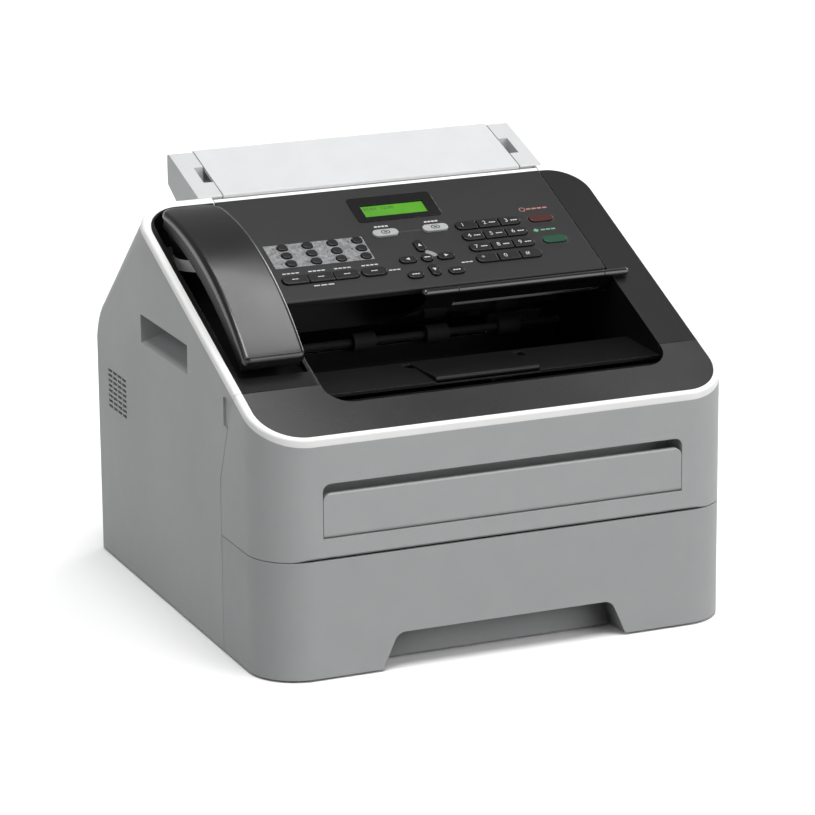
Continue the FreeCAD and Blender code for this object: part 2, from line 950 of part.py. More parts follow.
def machine_frame():
    """Side plates, tray rails, deck over the tray and the ears of the front cover's hinge."""
    front = side_seam + frame_set_back
    x = frame_x
    outline = [
        (front, 0), (frame_back, 0), (frame_back, frame_top - frame_chamfer),
        (frame_back - frame_chamfer, frame_top), (front + 2 * frame_chamfer, frame_top),
        (front, deck_top() + frame_chamfer / 2),
    ]
    skirt = width / 2 - wall - snug
    pieces = []
    for side in (-1, 1):
        outer = side * x
        inner = side * (x - frame_plate)
        pieces.append(prism("x", outline, min(outer, inner), max(outer, inner)))
        rail_front = -depth / 2 + rail_set_back
        pieces.append(slab_between(outer, side * rail_inner, rail_front, frame_back, 0, rail_thick))
        low = foot_seat
        pieces.append(slab_between(outer, side * skirt, front, frame_back, low, low + frame_plate))
        wing = slab_between(outer, side * skirt, wing_y, wing_y + frame_plate, low, deck_top())
        pieces += [wing, ear_arm(side * cover_ear_x - cover_ear_width / 2, front)]
    deck = box(-x, x, front, frame_back - deck_short, deck_low, deck_top())
    window = box(-deck_window, deck_window, front - 1, deck_window_back, 0, far)
    back = box(-x, x, frame_back - frame_plate, frame_back, 0, frame_back_height)
    frame = joined(deck.cut(window), back, *pieces)
    for y, z in ((pickup_y, pickup_z), (drum_y, drum_z), (fuser_y, fuser_z)):
        frame = frame.cut(shaft_hole(y, z))
    return frame


def deck_top():
    return deck_low + deck_thick


def ear_arm(x, front):
    """Arm from the deck to the front cover's hinge pin."""
    axis_y, axis_z = cover_axis
    end = x + cover_ear_width
    half = cover_ear_radius
    arm = box(x, end, axis_y, front + frame_chamfer, axis_z - half, axis_z + half)
    tip = rod(half, x, end, axis_y, axis_z)
    hole = rod(cover_pin + snug, x - 1, end + 1, axis_y, axis_z)
    return arm.fuse(tip).cut(hole)


def rubber_feet():
    feet = []
    for x, y, top in (foot_front, foot_rear):
        for side in (-1, 1):
            spot = Vector(side * x, y, -foot_height)
            feet.append(Part.makeCone(foot_radius - 1, foot_radius, foot_height + top, spot))
    return Part.makeCompound(feet)


def shaft_roller(radius, half, y, z, reach):
    """Roller on a shaft that runs in both side plates."""
    return joined(rod(radius, -half, half, y, z), rod(shaft_radius, -reach, reach, y, z))


def drum_cartridge():
    """Toner and drum holder: a block with a hopper, open below round the drum."""
    low = deck_top() + running_gap
    rise = cartridge_nose
    front = cartridge_front
    back = cartridge_back
    profile = [
        (front, low + rise), (front + 4 * rise, low), (back, low),
        (back, cartridge_shoulder), (drum_y + rise, cartridge_top), (front, cartridge_top),
    ]
    half = drum_half + cartridge_cheek
    corner = rise / 2
    block = prism("x", profile, -half, half, [corner, corner, corner, rise, rise, rise])
    inside = drum_half + 1
    bore = rod(drum_radius + 2 * running_gap, -inside, inside, drum_y, drum_z)
    throat_half = drum_radius * 2 / 3
    throat = box(-inside, inside, drum_y - throat_half, drum_y + throat_half, 0, drum_z)
    grip_low = cartridge_top - cartridge_grip
    grip_back = front + cartridge_grip / 2
    handle = box(-deck_window, deck_window, front - 1, grip_back, grip_low, grip_low + rise)
    return block.cut(bore).cut(throat).cut(handle).cut(shaft_hole(drum_y, drum_z))


def laser_unit():
    """Closed scanner box with its sloping lid and beam window."""
    low = deck_top()
    shoulder = (low + laser_high) / 2
    profile = [
        (laser_front, low), (laser_back, low), (laser_back, laser_high),
        (laser_front + laser_slope, laser_high), (laser_front, shoulder),
    ]
    case = prism("x", profile, -laser_half, laser_half, [wall, wall, 2 * wall, 2 * wall, wall])
    window_half = laser_half - laser_margin
    top = shoulder - wall
    window = box(-window_half, window_half, laser_front - 1, laser_front + wall, low + laser_margin / 2, top)
    return case.cut(window)


def output_bin():
    """Moulded bin where the sheets come to rest, with the dark strip right of it."""
    front = top_seam + seam / 2
    rear_high = sensor_z - sensor_half_height - wall
    panel_y = panel_front * math.cos(math.radians(panel_angle))
    radii = [0, bin_ridge_round, bin_ridge_round, wall, 0, 0, 0, 0, 0]

    def section(thick):
        return [
            (front, bin_floor - thick), (bin_ridge, bin_ridge_height - thick),
            (bin_slope_end, bin_low - thick), (bin_back + thick, bin_low - thick),
            (bin_back + thick, rear_high), (bin_slope_end - wall, rear_high),
            (panel_y, plane_z(panel_y, -3 * trim_height)), (panel_y, plane_z(panel_y)),
            (front, plane_z(front)),
        ]

    inside = prism("x", section(0), bin_left, bin_right, radii)
    shell = prism("x", section(wall), bin_left - inner_wall, bin_right + inner_wall, radii)
    strip_right = width / 2 - trim_side - snug
    outline = rectangle(bin_right, strip_right, front, top_rear - snug)
    strip = prism("z", outline, 0, far, [0, 0, top_rear_corner, 0])
    strip = strip.common(above(-wall)).cut(above(0))
    bin_shell = joined(shell, strip).cut(inside).cut(above(0))
    slot_left = bin_left + exit_slot_margin
    slot_right = bin_right - exit_slot_margin
    low = exit_z - exit_radius
    slot = box(slot_left, slot_right, bin_back - 1, bin_back + 2 * wall, low, low + exit_slot_height)
    return bin_shell.cut(slot).cut(shaft_hole(exit_y, exit_z)).cut(flap_seat())


def flap_seat():
    """Shallow seat for the bin's flap, with finger room beside its rear edge."""
    low = bin_floor - flap_sink - running_gap
    gap = seam
    rear = flap_front() + flap_length
    seat = box(flap_x - flap_half - gap, flap_x + flap_half + gap, top_seam - 2, rear + gap, low, far)
    reach = flap_half + flap_notch
    fingers = box(flap_x - reach, flap_x + reach, rear - flap_finger, rear, low, far)
    return joined(seat, fingers).common(box(-far, far, -far, far, low, bin_floor + 2 * flap_thick))


def flap_front():
    return top_seam + 1.0


def output_flap():
    """Flap that folds forward to hold long sheets, thick and round along its front edge."""
    front = flap_front()
    low = bin_floor - flap_sink
    back = front + flap_length
    profile = [(front, low), (back, low), (back, low + flap_thick), (front, low + flap_lip)]
    edge = flap_thick / 3
    lip = nearly * flap_lip / 2
    return prism("x", profile, flap_x - flap_half, flap_x + flap_half, [lip, edge, edge, 0.9 * lip])


def handset_cradle():
    """Dark strip left of the panel, with the trough that holds the handset."""
    rim = inner_wall
    left = -width / 2 + trim_side + snug
    right = bin_left - rim - snug
    front = top_seam + seam / 2
    back = top_rear - snug
    corner = top_rear_corner
    outline = prism("z", rectangle(left, right, front, back), 0, far, [0, 0, 0, corner])
    inner = rectangle(left + rim, right - rim, front + rim, back - rim)
    profile = [
        (cradle_front, -wall), (cradle_ramp, cradle_floor), (cradle_back, cradle_floor),
        (cradle_back, far), (cradle_front, far),
    ]
    bends = [0, cradle_bend, cradle_heel, 0, 0]
    trough = tilted(prism("x", profile, cradle_left, cradle_right, bends))
    trough = trough.common(prism("z", inner, 0, far, [0, 0, 0, corner - rim]))
    back = cradle_back + wall
    outside = [
        (cradle_front - rim, -wall), (cradle_ramp, cradle_floor - wall), (back, cradle_floor - wall),
        (back, -wall / 2), (cradle_front - rim, -wall / 2),
    ]
    tub = tilted(prism("x", outside, cradle_left - rim, cradle_right + rim - snug, bends))
    tub = tub.common(casing(wall + snug, -1)).common(outline)
    sheet = outline.common(above(-wall)).cut(above(0))
    bore = Part.makeCylinder(hook_radius + running_gap, far, Vector(handset_x, ear_v, -far))
    return joined(sheet, tub).cut(trough).cut(tilted(bore))


# Document feeder at the back of the top

def support_line(y, drop=0.0):
    """Height of the document support's upper face at y, less a drop."""
    y0, z0 = support_front
    y1, z1 = support_back
    return z0 + (z1 - z0) * (y - y0) / (y1 - y0) - drop


def feeder_frame():
    """Slab that hangs out behind the top and holds the document support, with its two cheeks."""
    y0, z0 = support_front
    y1 = support_back[0]
    profile = [support_front, support_back, feeder_tip, feeder_under, feeder_root, (y0, feeder_root[1])]
    slab = prism("x", profile, feeder_left, feeder_right, feeder_rounds)
    plan = rectangle(feeder_left, feeder_right, 0, feeder_tip[0])
    slab = slab.common(prism("z", plan, 0, far, [0, 0, feeder_corner, feeder_corner]))
    inlet_back = y0 + inlet_slot
    ramp_end = inlet_back + inlet_ramp
    channel = [
        (y0 - 1, far), (y0 - 1, z0 - inlet_depth), (inlet_back, z0 - inlet_depth),
        (ramp_end, support_line(ramp_end, feeder_channel)), (y1, support_line(y1, feeder_channel)),
        (far, support_line(y1, feeder_channel)), (far, far),
    ]
    slab = slab.cut(prism("x", channel, support_left - running_gap, support_right + running_gap))
    slab = slab.cut(casing(0, 0)).cut(panel_swing())
    low, high = feeder_notch
    floor = support_line(low, feeder_notch_width)
    for edge, side in ((support_left, -1), (support_right, 1)):
        slab = slab.cut(slab_between(edge, edge + side * feeder_notch_width, low, high, floor, far))
    reach = support_pin_reach + running_gap
    return slab.cut(rod(support_pin + snug, support_left - reach, support_right + reach, *support_axis()))


def panel_swing():
    """Room that the control panel's rounded rear edge turns in."""
    left = panel_left - running_gap
    right = panel_right + running_gap
    return tilted(rod(panel_nose + running_gap, left, right, *panel_axis))


def support_axis():
    y = support_back[0] - support_axis_back
    return (y, support_line(y, 1.5 * support_thick))


def document_support():
    """Lid over the document inlet, which turns up and back to hold the originals."""
    front = support_front[0] + running_gap
    back = support_back[0] - 1
    section = [
        (front, support_line(front)), (back, support_line(back)),
        (back, support_line(back, support_thick)), (front, support_line(front, support_thick)),
    ]
    edge = support_thick / 4
    plate = prism("x", section, support_left + running_gap, support_right - running_gap, edge)
    left = support_left - support_pin_reach
    right = support_right + support_pin_reach
    return joined(plate, rod(support_pin, left, right, *support_axis()))


def document_guide(side):
    """Edge guide for originals, on the floor of the inlet."""
    middle = (support_left + support_right) / 2
    x = middle + side * ((support_right - support_left) / 2 - doc_guide_margin)
    y = doc_guide_front
    end = y + doc_guide_length
    low = feeder_channel - running_gap

    def section(inset, lean_in, high):
        back = end - inset
        front = y + inset
        lead = front + lean_in
        return [
            (front, support_line(front, low)), (back, support_line(back, low)),
            (back, support_line(back, high)), (lead, support_line(lead, high)),
        ]

    step = doc_guide_inset
    edge = x + side * guide_thick
    toe = x - side * doc_guide_foot
    plate = prism("x", section(0, step, support_thick + 1), min(x, edge), max(x, edge))
    foot = prism("x", section(step, 0, low - inner_wall), min(x, toe), max(x, toe))
    return joined(plate, foot)


def plate_line(y, drop=0.0):
    """Height of the document exit plate at y."""
    y0, z0 = exit_plate_front()
    y1, z1 = exit_plate_back
    return z0 + (z1 - z0) * (y - y0) / (y1 - y0) - drop


def exit_plate_front():
    spot = tilt.multVec(Vector(0, bar_v + exit_plate_behind, bar_n - exit_plate_below))
    return (spot.y, spot.z)


def bar_spot():
    spot = tilt.multVec(Vector(0, bar_v, bar_n))
    return (spot.y, spot.z)


def exit_lip(x0, x1, drop):
    """Upright web from the exit plate to the round bar along its front edge."""
    y0, z0 = exit_plate_front()
    yb, zb = bar_spot()
    half = exit_plate_thick / 2
    low = z0 - drop - exit_plate_thick
    profile = [(y0, z0 - drop), (y0, low), (y0 - exit_plate_thick, low), (yb - half, zb), (yb + half, zb)]
    return prism("x", profile, x0, x1)


def exit_sheet(x0, x1, front, back, high, low):
    """Part of the sloping exit plate between two drops below its line."""
    profile = [
        (front, plate_line(front, high)), (back, plate_line(back, high)),
        (back, plate_line(back, low)), (front, plate_line(front, low)),
    ]
    return prism("x", profile, x0, x1)


def document_exit_tray():
    """Fixed plate that the originals run over, with the two bar ends that stand proud."""
    front = exit_plate_front()[0]
    drop = exit_plate_thick
    left = bar_left + exit_plate_inset
    right = bin_right - snug
    plate = exit_sheet(left, right, front, exit_plate_back[0], drop, 2 * drop)
    yb, zb = bar_spot()
    pieces = []
    spans = (
        (bar_left + bar_radius, bar_joint_left - snug, bar_left + bar_radius),
        (bar_joint_right + snug, bar_right - bar_radius, bar_right - bar_radius),
    )
    for x0, x1, tip in spans:
        bar = rod(bar_radius, x0, x1, yb, zb)
        cap = Part.makeSphere(bar_radius, Vector(tip, yb, zb))
        web = exit_lip(max(x0, left), min(x1, right), drop)
        pieces += [bar, cap, web]
    return joined(plate, *pieces)


def document_exit_slide():
    """Middle of the bar on its own plate, which draws out to hold longer originals."""
    front = exit_plate_front()[0]
    low = exit_plate_thick - running_gap / 2
    x0 = bar_joint_left + 2 * snug
    x1 = bar_joint_right - 2 * snug
    plate = exit_sheet(x0, x1, front, front + exit_slide_length, 0, low)
    yb, zb = bar_spot()
    half = exit_plate_thick / 2
    foot = plate_line(front, low)
    section = [
        (front, plate_line(front)), (front + half, foot), (front - half, foot),
        (yb - half, zb), (yb + half, zb),
    ]
    web = prism("x", section, x0, x1)
    return joined(plate, web, rod(bar_radius, x0, x1, yb, zb))


def image_sensor():
    """Reading bar with its glass line and the end brackets of the document roller."""
    half = sensor_half_depth
    low = sensor_z - sensor_half_height
    high = sensor_z + sensor_half_height
    left = bin_left + sensor_margin
    right = bin_right - sensor_margin
    front = sensor_y - half
    bar = box(left, right, front, sensor_y + half, low, high)
    glass = half / 3
    inset = sensor_margin
    bottom = high - sensor_groove
    groove = box(left + inset, right - inset, sensor_y - glass, sensor_y + glass, bottom, high + 1)
    y, z = document_roller_place()
    top = z + 2 * shaft_radius
    ends = [box(x, x + wall, front, sensor_y + half, low, top) for x in (left, right - wall)]
    foot = sensor_foot
    feet = [box(x, x + foot, front, bin_back + wall, low - wall, low + 1) for x in (left, right - foot)]
    return joined(bar.cut(groove), *ends, *feet).cut(shaft_hole(y, z))


def document_roller_place():
    return (sensor_y, sensor_z + sensor_half_height + document_roller_radius + running_gap)


def document_roller():
    y, z = document_roller_place()
    reach = sensor_margin - exit_plate_thick
    shaft = rod(shaft_radius, bin_left + reach, bin_right - reach, y, z)
    middle = (bin_left + bin_right) / 2
    half = document_roller_half
    pitch = document_roller_pitch
    wheels = [
        rod(document_roller_radius, x - half, x + half, y, z)
        for x in (middle - pitch, middle, middle + pitch)
    ]
    return joined(shaft, *wheels)


def exit_roller():
    """Shaft with four rollers that hand the printed sheets into the bin."""
    middle = (bin_left + bin_right) / 2
    shaft = rod(shaft_radius, bin_left - inner_wall, bin_right + inner_wall, exit_y, exit_z)
    wheels = []
    for step in (-1.5, -0.5, 0.5, 1.5):
        x = middle + step * exit_pitch
        wheels.append(rod(exit_radius, x - exit_half, x + exit_half, exit_y, exit_z))
    return joined(shaft, *wheels)


# Control panel

def rounded_key(x, v, size, low, high, grow=0.0):
    """Lozenge on the panel, straight along its sides and round at its ends."""
    half_x = size[0] / 2 + grow
    half_v = size[1] / 2 + grow
    radius = min(half_x, half_v) * nearly
    points = rectangle(x - half_x, x + half_x, v - half_v, v + half_v)
    return prism("z", points, low, high, radius)


def placed(x):
    """Place along the panel of what is drawn at x."""
    return panel_left + across * (x - drawn_left)


def cell(x, v, size):
    """Place and size of one key on the panel."""
    return (placed(x), v, (across * size[0], size[1]))


def row_cells(columns, row, size):
    """Places and sizes of the keys in one row."""
    return [cell(x, row, size) for x in columns]


def nav_cells():
    long, short = nav_key
    return {
        "nav_up_key": cell(nav_x, nav_v + nav_reach, (short, long)),
        "nav_down_key": cell(nav_x, nav_v - nav_reach, (short, long)),
        "nav_left_key": cell(nav_x - nav_reach, nav_v, (long, short)),
        "nav_right_key": cell(nav_x + nav_reach, nav_v, (long, short)),
        "nav_centre_key": cell(nav_x, nav_v, (nav_button, nav_button)),
    }


def key_nodes():
    """Every key node with its cells: x, place up the slope and size."""
    nodes = {}
    for i, row in enumerate(dial_rows):
        nodes["dial_row_%d" % (i + 1)] = row_cells(dial_columns, row, dial_key)
    nodes["speed_dial_keys"] = []
    for row in speed_rows:
        nodes["speed_dial_keys"] += row_cells(speed_columns, row, speed_key)
    nodes["function_keys"] = row_cells(function_columns, function_row, function_key)
    nodes["function_keys"].append(cell(option_x, function_row, function_key))
    nodes["fax_mode_key"] = [cell(mode_columns[0], mode_row, mode_key)]
    nodes["copy_mode_key"] = [cell(mode_columns[1], mode_row, mode_key)]
    for name, spot in nav_cells().items():
        nodes[name] = [spot]
    nodes["clear_key"] = [cell(side_key_columns[0], side_key_row, side_key)]
    nodes["menu_key"] = [cell(side_key_columns[1], side_key_row, side_key)]
    nodes["stop_key"] = [cell(action_x, action_rows[0], action_key)]
    nodes["start_key"] = [cell(action_x, action_rows[1], action_key)]
    return nodes


square_strips = ("dial_row", "function_keys")


def key_shape(name, spot, low, high, grow=0.0):
    """One key: keys of a strip are square where they meet and round at the strip's ends."""
    x, v, size = spot
    if not name.startswith(square_strips):
        return rounded_key(x, v, size, low, high, grow)
    drawn = dial_columns if name.startswith("dial_row") else function_columns
    columns = [placed(c) for c in drawn]
    if x not in columns:
        return rounded_key(x, v, size, low, high, grow)
    half_x = size[0] / 2 + grow
    half_v = size[1] / 2 + grow
    end = half_v * strip_end
    left = end if x == columns[0] else key_edge
    right = end if x == columns[-1] else key_edge
    points = rectangle(x - half_x, x + half_x, v - half_v, v + half_v)
    return prism("z", points, low, high, [left, right, right, left])


def key_set(name, cells):
    """Solid keys with rounded upper edges, each reaching through the panel's skin."""
    keys = []
    for spot in cells:
        body = key_shape(name, spot, -key_root, key_rise)
        top = [f for f in body.Faces if abs(f.CenterOfMass.z - key_rise) < 1e-6][0]
        keys.append(body.makeFillet(key_edge, top.Edges))
    return tilted(Part.makeCompound(keys))


def control_panel():
    """Hinged panel: a skin with a rounded front lip, hollow below, pierced for every key."""
    left = panel_left + running_gap
    right = panel_right - running_gap
    low = -panel_depth
    section = [
        (panel_front, -panel_lip), (panel_front + panel_depth, low), (panel_rear, low),
        (panel_rear, 0), (panel_front, 0),
    ]
    block = prism("x", section, left, right, [panel_round, panel_round, 0, 0, panel_round])
    near = panel_front + 2 * panel_skin
    away = panel_rear - 2 * panel_skin
    knee = panel_front + panel_depth + 1
    hollow = [(near, -panel_lip), (knee, low - 1), (away, low - 1), (away, -panel_skin), (near, -panel_skin)]
    block = block.cut(prism("x", hollow, left + panel_skin, right - panel_skin))
    for name, cells in key_nodes().items():
        for spot in cells:
            block = block.cut(key_shape(name, spot, low, 1, key_clear))
    block = block.cut(window_plate(snug)).cut(speed_plate_blank(snug))
    screen_hole = prism("z", field(screen, 0), -panel_skin - 1, 0)
    return tilted(block.cut(screen_hole))


def field(drawn, grow):
    """Outline of a field drawn on the panel: its left, right, lower and upper edge."""
    left, right, low, high = drawn
    return rectangle(placed(left) - grow, placed(right) + grow, low - grow, high + grow)


def window_plate(grow):
    return prism("z", field(window, grow), -window_sink, window_rise, window_corner + grow)


def display_window():
    """Glossy surround of the display, open over the screen."""
    plate = window_plate(0)
    hole = prism("z", field(screen, 0), -far, far)
    return tilted(plate.cut(hole))


def display_screen():
    return tilted(prism("z", field(screen, -snug), *screen_span))


def speed_plate_blank(grow):
    return prism("z", field(speed_plate, grow), -plate_sink, plate_rise)


def speed_dial_plate():
    """Thin bright plate round the speed keys."""
    plate = speed_plate_blank(0)
    for x, v, size in key_nodes()["speed_dial_keys"]:
        plate = plate.cut(rounded_key(x, v, size, -far, far, key_clear))
    return tilted(plate)


def panel_hinge_pin(grow):
    left = panel_left - panel_pin_reach
    right = panel_right + panel_pin_reach
    return tilted(rod(panel_pin + grow, left, right, *panel_axis))


def panel_rear_trim():
    """Pale strip along the panel's rear edge, round about the hinge line, with the pins."""
    v, n = panel_axis
    left = panel_left + running_gap
    right = panel_right - running_gap
    front = panel_rear + touch
    strip = prism("x", rectangle(front, v, -panel_depth, 0), left, right)
    nose = rod(panel_nose, left, right, v, n)
    nose = nose.common(box(-far, far, front, far, -far, far))
    return joined(tilted(strip.fuse(nose)), panel_hinge_pin(0))


# Handset

def handset_arc(drop):
    """Points of the handset's long arc, lowered by a drop."""
    return [
        (handset_front, handset_front_n - drop),
        (handset_mid_v, handset_mid_n - handset_swell * drop),
        (handset_back, handset_back_n - handset_taper * drop),
    ]


def bow(points):
    """Arc through three points of the handset's left flank, with its ends."""
    a, b, c = [Vector(handset_x - handset_half, *p) for p in points]
    return Part.Arc(a, b, c).toShape(), a, c


def arched(upper, lower, half):
    """Bar between two long arcs, as wide as the handset."""
    top, a, c = bow(upper)
    bottom, d, f = bow(lower)
    wire = Part.Wire(Part.__sortEdges__([top, Part.makeLine(c, f), bottom, Part.makeLine(d, a)]))
    bar = Part.Face(wire).extrude(Vector(2 * handset_half, 0, 0))
    return bar.common(box(handset_x - half, handset_x + half, -far, far, -far, far))


def handset_top_shell():
    """Glossy arched back of the handset."""
    shell = arched(handset_arc(0), handset_arc(handset_shell), handset_half)
    shell = shell.common(handset_plan(0))
    top = max(shell.Faces, key=lambda f: f.CenterOfMass.z)
    return tilted(shell.makeFillet(handset_edge, top.OuterWire.Edges))


def handset_plan(inset):
    """Upright column through the handset's outline, round at its corners."""
    half = handset_half - inset
    points = rectangle(handset_x - half, handset_x + half, handset_front + inset, handset_back - inset)
    front = handset_front_corner - inset
    rear = handset_rear_corner - inset
    return prism("z", points, -far, far, [front, front, rear, rear])


def on_ear_axis(rise):
    """Point on the ear cup's axis, which stands upright, some way above the ring's foot."""
    return Vector(handset_x, ear_v, ring_low) + upright * rise


def handset_bottom_shell():
    """Lower half of the handset, with the ear cup and the mouth cup."""
    upper = handset_arc(handset_shell + touch)
    half = handset_half - handset_step
    body = arched(upper, handset_arc(handset_shell + handset_body), half)
    low = handset_front + handset_set_back
    high = handset_back - handset_rear_set_back
    body = body.common(box(-far, far, low, high, -far, far))
    ear_foot = ring_radius - ear_flare + 1
    ear = Part.makeCone(ear_foot, ear_top_radius, ear_height, on_ear_axis(ring_height), upright)
    plug_height = ring_height - ring_lip + 1
    plug = Part.makeCylinder(ring_bore - touch, plug_height, on_ear_axis(ring_lip), upright)
    mouth_spot = Vector(handset_x, mouth_v, mouth_low)
    mouth = Part.makeCone(ear_radius - mouth_flare, ear_radius, cup_height, mouth_spot)
    under = arched(upper, handset_arc(handset_shell + far / 4), half)
    cups = ear.common(under).fuse([plug, mouth.common(under)])
    return tilted(joined(body, cups).common(handset_plan(handset_step)))


def handset_ring():
    """Bright metal ring round the foot of the ear cup."""
    ring = Part.makeCone(ring_foot_radius, ring_radius, ring_height - touch, on_ear_axis(0), upright)
    bore = Part.makeCylinder(ring_bore + touch, far, on_ear_axis(-far / 2), upright)
    return tilted(ring.cut(bore))


def hook_switch():
    """Plunger in the cradle floor that the ear cup holds down."""
    slope = math.tan(math.radians(panel_angle))
    top = ring_low + ring_lip - hook_radius * slope - running_gap
    low = cradle_floor - wall - hook_reach
    foot = Vector(handset_x, ear_v, low)
    stem = Part.makeCylinder(hook_radius, top - low, foot)
    collar = Part.makeCylinder(hook_radius + hook_collar, hook_collar, foot)
    return tilted(joined(stem, collar))


def build():
    right_cover = side_cover()
    save("left_side_cover", mirrored(right_cover))
    save("right_side_cover", rocker_seat(right_cover).cut(panel_swing()))
    save("rear_panel", rear_panel())
    save("rear_sockets", rear_sockets())
    save("rear_door", rear_door())
    save("power_rocker", rocker_switch())
    save("machine_frame", machine_frame())
    save("rubber_feet", rubber_feet())
    save("body_trim", body_trim())
    save("front_trim", front_trim())
    save("front_cover", front_cover())
    save("front_top_strip", front_top_strip())
    save("manual_feed_door", manual_feed_door())
    save("paper_tray", paper_tray())
    save("lift_plate", lift_plate())
    save("tray_guide_left", tray_guide(-1))
    save("tray_guide_right", tray_guide(1))
    save("drum_cartridge", drum_cartridge())
    save("photo_drum", shaft_roller(drum_radius, drum_half, drum_y, drum_z, frame_x))
    save("fuser_roller", shaft_roller(fuser_radius, fuser_half, fuser_y, fuser_z, frame_x))
    save("pickup_roller", shaft_roller(pickup_radius, pickup_half, pickup_y, pickup_z, frame_x))
    save("laser_unit", laser_unit())
    save("output_bin", output_bin())
    save("output_flap", output_flap())
    save("exit_roller", exit_roller())
    save("handset_cradle", handset_cradle())
    save("feeder_frame", feeder_frame())
    save("document_support", document_support())
    save("document_guide_left", document_guide(-1))
    save("document_guide_right", document_guide(1))
    save("document_exit_tray", document_exit_tray())
    save("document_exit_slide", document_exit_slide())
    save("image_sensor", image_sensor())
    save("document_roller", document_roller())
    save("control_panel", control_panel())
    save("panel_rear_trim", panel_rear_trim())
    save("display_window", display_window())
    save("display_screen", display_screen())
    save("speed_dial_plate", speed_dial_plate())
    for name, cells in key_nodes().items():
        save(name, key_set(name, cells))
    save("handset_top_shell", handset_top_shell())
    save("handset_bottom_shell", handset_bottom_shell())
    save("handset_ring", handset_ring())
    save("hook_switch", hook_switch())


build()
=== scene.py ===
"""Looks of the desktop fax machine: materials, printed marks, small fittings, light and camera.

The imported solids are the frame. Marks and fittings are placed in millimetres, and lamps, camera and textures
in metres. The sloping top has its own frame, as in the part's source: x, v up the slope and n square to it.
"""
import json
import math

import bpy
from mathutils import Matrix, Vector


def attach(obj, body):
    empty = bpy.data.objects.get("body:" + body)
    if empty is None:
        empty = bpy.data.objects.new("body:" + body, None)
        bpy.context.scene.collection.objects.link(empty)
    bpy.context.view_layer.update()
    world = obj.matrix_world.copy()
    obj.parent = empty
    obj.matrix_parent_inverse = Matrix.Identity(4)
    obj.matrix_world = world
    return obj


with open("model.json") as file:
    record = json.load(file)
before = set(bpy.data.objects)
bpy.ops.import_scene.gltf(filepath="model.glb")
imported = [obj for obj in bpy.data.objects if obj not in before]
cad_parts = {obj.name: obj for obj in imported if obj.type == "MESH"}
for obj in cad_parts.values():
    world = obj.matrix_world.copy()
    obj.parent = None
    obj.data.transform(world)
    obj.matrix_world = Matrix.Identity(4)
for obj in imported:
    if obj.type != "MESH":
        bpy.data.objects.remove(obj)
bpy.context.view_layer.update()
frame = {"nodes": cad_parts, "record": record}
nodes = frame["nodes"]
scene = bpy.context.scene

MM = 0.001
FEET = 1.5
PANEL_HEIGHT = 253.5
TILT = math.radians(23.29)
TOP = Vector((0, 0, PANEL_HEIGHT + FEET)) * MM
UP_SLOPE = Vector((0, math.cos(TILT), math.sin(TILT)))
OFF_SLOPE = Vector((0, -math.sin(TILT), math.cos(TILT)))


def on_top(x, v, n=0.0):
    """Point of the sloping top, from millimetres."""
    return TOP + Vector((x, 0, 0)) * MM + UP_SLOPE * (v * MM) + OFF_SLOPE * (n * MM)


# Materials

class Graph:
    """Node tree of one material, with short ways to add and join nodes."""

    def __init__(self, name):
        self.material = bpy.data.materials.new(name)
        self.material.use_nodes = True
        self.tree = self.material.node_tree
        self.shader = self.tree.nodes["Principled BSDF"]
        self.place = self.add("ShaderNodeTexCoord").outputs["Object"]

    def add(self, kind, **settings):
        node = self.tree.nodes.new(kind)
        for key, value in settings.items():
            setattr(node, key, value)
        return node

    def join(self, start, end):
        self.tree.links.new(start, end)

    def noise(self, scale, detail=2.0, rough=0.5, stretch=None):
        node = self.add("ShaderNodeTexNoise")
        node.inputs["Scale"].default_value = scale
        node.inputs["Detail"].default_value = detail
        node.inputs["Roughness"].default_value = rough
        place = self.place
        if stretch:
            mapping = self.add("ShaderNodeMapping")
            mapping.inputs["Scale"].default_value = stretch
            self.join(place, mapping.inputs["Vector"])
            place = mapping.outputs["Vector"]
        self.join(place, node.inputs["Vector"])
        return node.outputs["Fac"]

    def spread(self, value, low, high, start=0.3, end=0.7):
        """Carries the range from start to end over to the range from low to high."""
        node = self.add("ShaderNodeMapRange")
        node.inputs["From Min"].default_value = start
        node.inputs["From Max"].default_value = end
        node.inputs["To Min"].default_value = low
        node.inputs["To Max"].default_value = high
        self.join(value, node.inputs["Value"])
        return node.outputs["Result"]

    def mix(self, share, first, second):
        """Colour between two, each a colour or a socket."""
        node = self.add("ShaderNodeMix", data_type="RGBA")
        for socket, value in ((node.inputs[0], share), (node.inputs[6], first), (node.inputs[7], second)):
            if isinstance(value, bpy.types.NodeSocket):
                self.join(value, socket)
            else:
                socket.default_value = value
        return node.outputs[2]

    def edge(self, radius):
        """Share that rises towards worn edges, and the rounded normal that it comes from."""
        bevel = self.add("ShaderNodeBevel", samples=4)
        bevel.inputs["Radius"].default_value = radius
        plain = self.add("ShaderNodeNewGeometry")
        dot = self.add("ShaderNodeVectorMath", operation="DOT_PRODUCT")
        self.join(bevel.outputs["Normal"], dot.inputs[0])
        self.join(plain.outputs["Normal"], dot.inputs[1])
        worn = self.spread(dot.outputs["Value"], 1.0, 0.0, start=0.80, end=0.995)
        return worn, bevel.outputs["Normal"]

    def bump(self, height, strength, normal=None):
        """Fine relief of the surface."""
        node = self.add("ShaderNodeBump")
        node.inputs["Strength"].default_value = strength
        node.inputs["Distance"].default_value = 0.0001
        self.join(height, node.inputs["Height"])
        if normal is not None:
            self.join(normal, node.inputs["Normal"])
        self.join(node.outputs["Normal"], self.shader.inputs["Normal"])


def rgba(color, factor=1.0):
    return tuple(min(1.0, c * factor) for c in color) + (1.0,)


